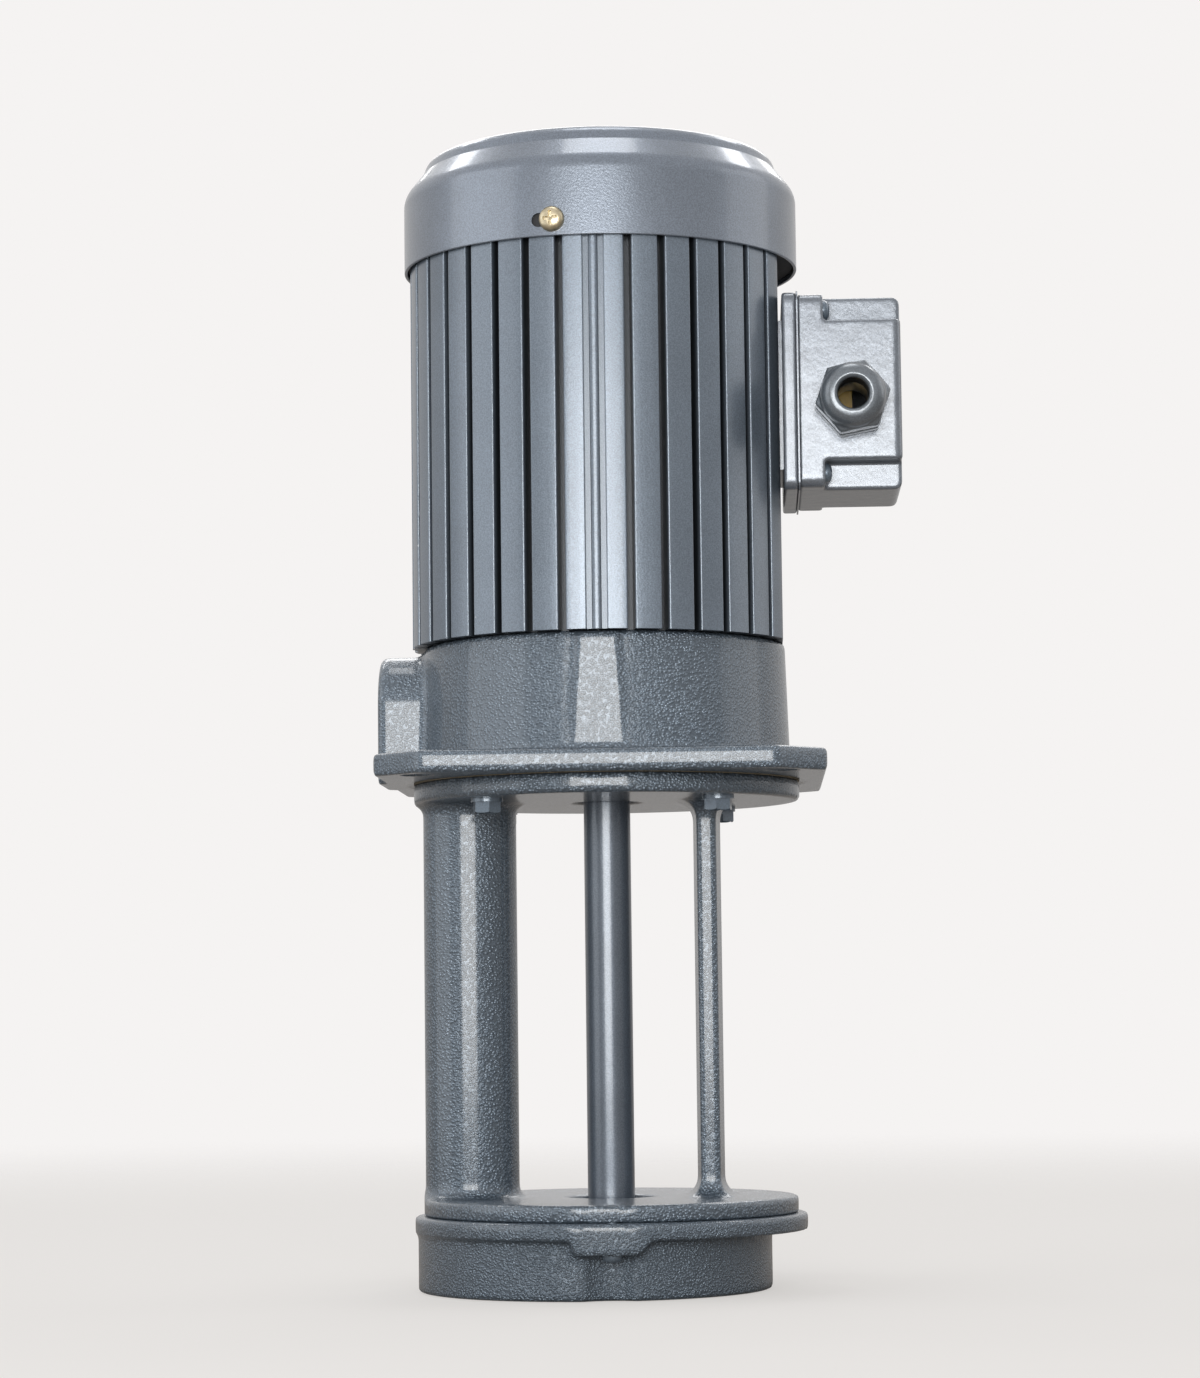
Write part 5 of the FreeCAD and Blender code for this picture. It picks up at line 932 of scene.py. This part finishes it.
class PUMP_OT_castings(bpy.types.Operator):
    """Give the bracket, the column and the suction cover their cast skin"""
    bl_idname = "pump.castings"
    bl_label = "Castings"

    def execute(self, context):
        pump = context.scene.pump
        for node, finish in (("motor_bracket", "casting"), ("pump_column", "casting"),
                             ("suction_cover", "rough")):
            mesh = cast_skin(node, pump.skin_voxel, pump.skin_rounds)
            show(node + "_cast", mesh, "root", FINISHES[finish], 60.0, node)
        return {"FINISHED"}


class PUMP_OT_terminal_box(bpy.types.Operator):
    """Give the terminal box its die-cast skin and its screws"""
    bl_idname = "pump.terminal_box"
    bl_label = "Terminal box"

    def execute(self, context):
        pump = context.scene.pump
        for node in ("terminal_box_base", "terminal_box_cover"):
            mesh = cast_skin(node, pump.skin_voxel * BOX_VOXEL_SHARE, pump.skin_rounds)
            show(node + "_cast", mesh, "root", FINISHES["diecast"], 60.0, node)
        for node in ("terminal_box_gasket", "base_gasket"):
            coat(NODES[node], FINISHES["diecast"])
        tree = cross_head_screw(FINISHES["fastener"])
        spots = head_spots("terminal_box_screws", 0, 1, 2.2, 0.4, 0.9)
        sizes = in_mm(head_radius=3.2, head_height=2.2, recess_length=3.6, recess_width=0.9,
                      recess_depth=1.3, shank_radius=2, shank_length=8)
        grown("terminal_box_cross_screws", tree, spots, sizes, "terminal_box_screws")
        return {"FINISHED"}


class PUMP_OT_gland(bpy.types.Operator):
    """Round the cable gland's edges"""
    bl_idname = "pump.gland"
    bl_label = "Cable gland"

    def execute(self, context):
        for node in ("gland_nut", "gland_body"):
            mesh = cast_skin(node, GLAND_VOXEL * MM, GLAND_ROUNDS)
            show(node + "_round", mesh, "root", FINISHES["gland"], 60.0, node)
        return {"FINISHED"}


class PUMP_OT_column_bolts(bpy.types.Operator):
    """Grow the hexagon bolts under the column's flange"""
    bl_idname = "pump.column_bolts"
    bl_label = "Column bolts"

    def execute(self, context):
        tree = hexagon_bolt(FINISHES["fastener"])
        spots = head_spots("column_bolts", 2, -1, 3.5, 0.3, 0.7)
        sizes = in_mm(across_flats=8, head_height=3.5, shank_radius=2.45, shank_length=14)
        grown("column_hexagon_bolts", tree, spots, sizes, "column_bolts")
        coat(NODES["column_washers"], FINISHES["fastener"])
        return {"FINISHED"}


class PUMP_OT_cover_lug_screws(bpy.types.Operator):
    """Grow the cross-head screws under the suction cover's lugs"""
    bl_idname = "pump.cover_lug_screws"
    bl_label = "Suction cover screws"

    def execute(self, context):
        tree = cross_head_screw(FINISHES["fastener"])
        spots = head_spots("suction_cover_screws", 2, -1, 2.4, 0.2, 0.8)
        sizes = in_mm(head_radius=3.2, head_height=2.4, recess_length=3.6, recess_width=0.9,
                      recess_depth=1.3, shank_radius=1.95, shank_length=12)
        grown("suction_cover_lug_screws", tree, spots, sizes, "suction_cover_screws")
        return {"FINISHED"}


class PUMP_OT_shaft(bpy.types.Operator):
    """Round the shaft's turned edges"""
    bl_idname = "pump.shaft"
    bl_label = "Shaft"

    def execute(self, context):
        mesh = edged("motor_shaft", SHAFT_EDGE * MM)
        show("motor_shaft_turned", mesh, "rotor", FINISHES["shaft"], 40.0, "motor_shaft",
             flat=True)
        return {"FINISHED"}


def add_lamp(name, place, aim, size, radiance, colour):
    """A flat lamp of that size and brightness; a white world has a brightness of 1."""
    data = bpy.data.lights.new(name, "AREA")
    data.shape = "RECTANGLE"
    data.size, data.size_y = size
    data.energy = radiance * math.pi * size[0] * size[1]
    data.color = colour
    made = linked(name, data)
    turn = (Vector(aim) - Vector(place)).to_track_quat("-Z", "Y")
    made.matrix_world = Matrix.Translation(place) @ turn.to_matrix().to_4x4()


class PUMP_OT_stage(bpy.types.Operator):
    """Lay the plain floor, and set the lamps, the world and the camera"""
    bl_idname = "pump.stage"
    bl_label = "Stage"

    def execute(self, context):
        settings = context.scene.pump_stage
        mesh = bpy.data.meshes.new("floor")
        work = bmesh.new()
        bmesh.ops.create_circle(work, cap_ends=True, segments=FLOOR_SIDES, radius=FLOOR_RADIUS)
        work.to_mesh(mesh)
        work.free()
        floor = linked("floor", mesh)
        floor.location.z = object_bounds()[0].z - FLOOR_GAP * MM
        coat(floor, floor_paint(settings.floor_colour, *FLOOR_FADE))
        floor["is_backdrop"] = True
        for lamp in LAMPS:
            add_lamp(*lamp)
        self.world(settings)
        self.camera(settings)
        return {"FINISHED"}

    def world(self, settings):
        """A pale world behind the pump, dark below in reflections, with a weaker light."""
        world = bpy.data.worlds.new("pale")
        bpy.context.scene.world = world
        world.use_nodes = True
        tree = Tree(world.node_tree)
        lit = tree.node("ShaderNodeBackground", [SKY, SKY_STRENGTH])
        seen = tree.node("ShaderNodeBackground", [(*settings.back_colour, 1.0), 1.0])
        under = tree.node("ShaderNodeBackground", [UNDER, 1.0])
        way = tree.node("ShaderNodeTexCoord", output="Generated")
        rise = tree.node("ShaderNodeSeparateXYZ", [way], 2).ramp(UNDER_LEVEL, OVER_LEVEL)
        mirrored = tree.node("ShaderNodeMixShader", [rise, under, seen])
        camera, glossy, through = [
            tree.node("ShaderNodeLightPath", output=name)
            for name in ("Is Camera Ray", "Is Glossy Ray", "Is Transmission Ray")]
        mix = tree.node("ShaderNodeMixShader", [glossy, lit, mirrored])
        mix = tree.node("ShaderNodeMixShader", [camera.math("MAXIMUM", through), mix, seen])
        out = tree.tree.nodes.new("ShaderNodeOutputWorld")
        tree.join(mix, out.inputs[0])

    def camera(self, settings):
        """The photograph's own view when the settings are as they come."""
        data = bpy.data.cameras.new("camera")
        data.sensor_fit = "VERTICAL"
        data.sensor_height = SENSOR
        data.sensor_width = SENSOR
        data.lens = FOCAL / PICTURE_HEIGHT * data.sensor_height
        camera = linked("camera", data)
        bpy.context.scene.camera = camera
        place = Matrix.Translation((settings.distance * math.sin(settings.turn),
                                    -settings.distance * math.cos(settings.turn),
                                    settings.height))
        camera.matrix_world = (
            place @ Matrix.Rotation(settings.turn + math.radians(HEADING), 4, "Z")
            @ Matrix.Rotation(math.pi / 2 + settings.pitch, 4, "X")
            @ Matrix.Rotation(math.radians(ROLL), 4, "Z"))
        bpy.context.scene.view_settings.view_transform = "Standard"


PIECES = (PUMP_OT_finishes, PUMP_OT_fan_cover, PUMP_OT_cover_screws, PUMP_OT_housing,
          PUMP_OT_castings, PUMP_OT_terminal_box, PUMP_OT_gland, PUMP_OT_column_bolts,
          PUMP_OT_cover_lug_screws, PUMP_OT_shaft, PUMP_OT_stage)


class PUMP_PT_panel(bpy.types.Panel):
    """The pump's sizes, colours and pieces"""
    bl_idname = "PUMP_PT_panel"
    bl_label = "Immersion coolant pump"
    bl_space_type = "VIEW_3D"
    bl_region_type = "UI"
    bl_category = "Pump"

    def draw(self, context):
        for group in (context.scene.pump, context.scene.pump_stage):
            column = self.layout.column()
            for name in group.bl_rna.properties.keys():
                if name not in ("rna_type", "name"):
                    column.prop(group, name)
        for piece in PIECES:
            self.layout.operator(piece.bl_idname)


CLASSES = (PumpSettings, StageSettings, *PIECES, PUMP_PT_panel)


def register():
    for one in CLASSES:
        bpy.utils.register_class(one)
    bpy.types.Scene.pump = PointerProperty(type=PumpSettings)
    bpy.types.Scene.pump_stage = PointerProperty(type=StageSettings)


def unregister():
    del bpy.types.Scene.pump_stage
    del bpy.types.Scene.pump
    for one in reversed(CLASSES):
        bpy.utils.unregister_class(one)


def main():
    register()
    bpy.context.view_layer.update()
    for piece in PIECES:
        group, name = piece.bl_idname.split(".")
        getattr(getattr(bpy.ops, group), name)()


if __name__ == "__main__":
    main()
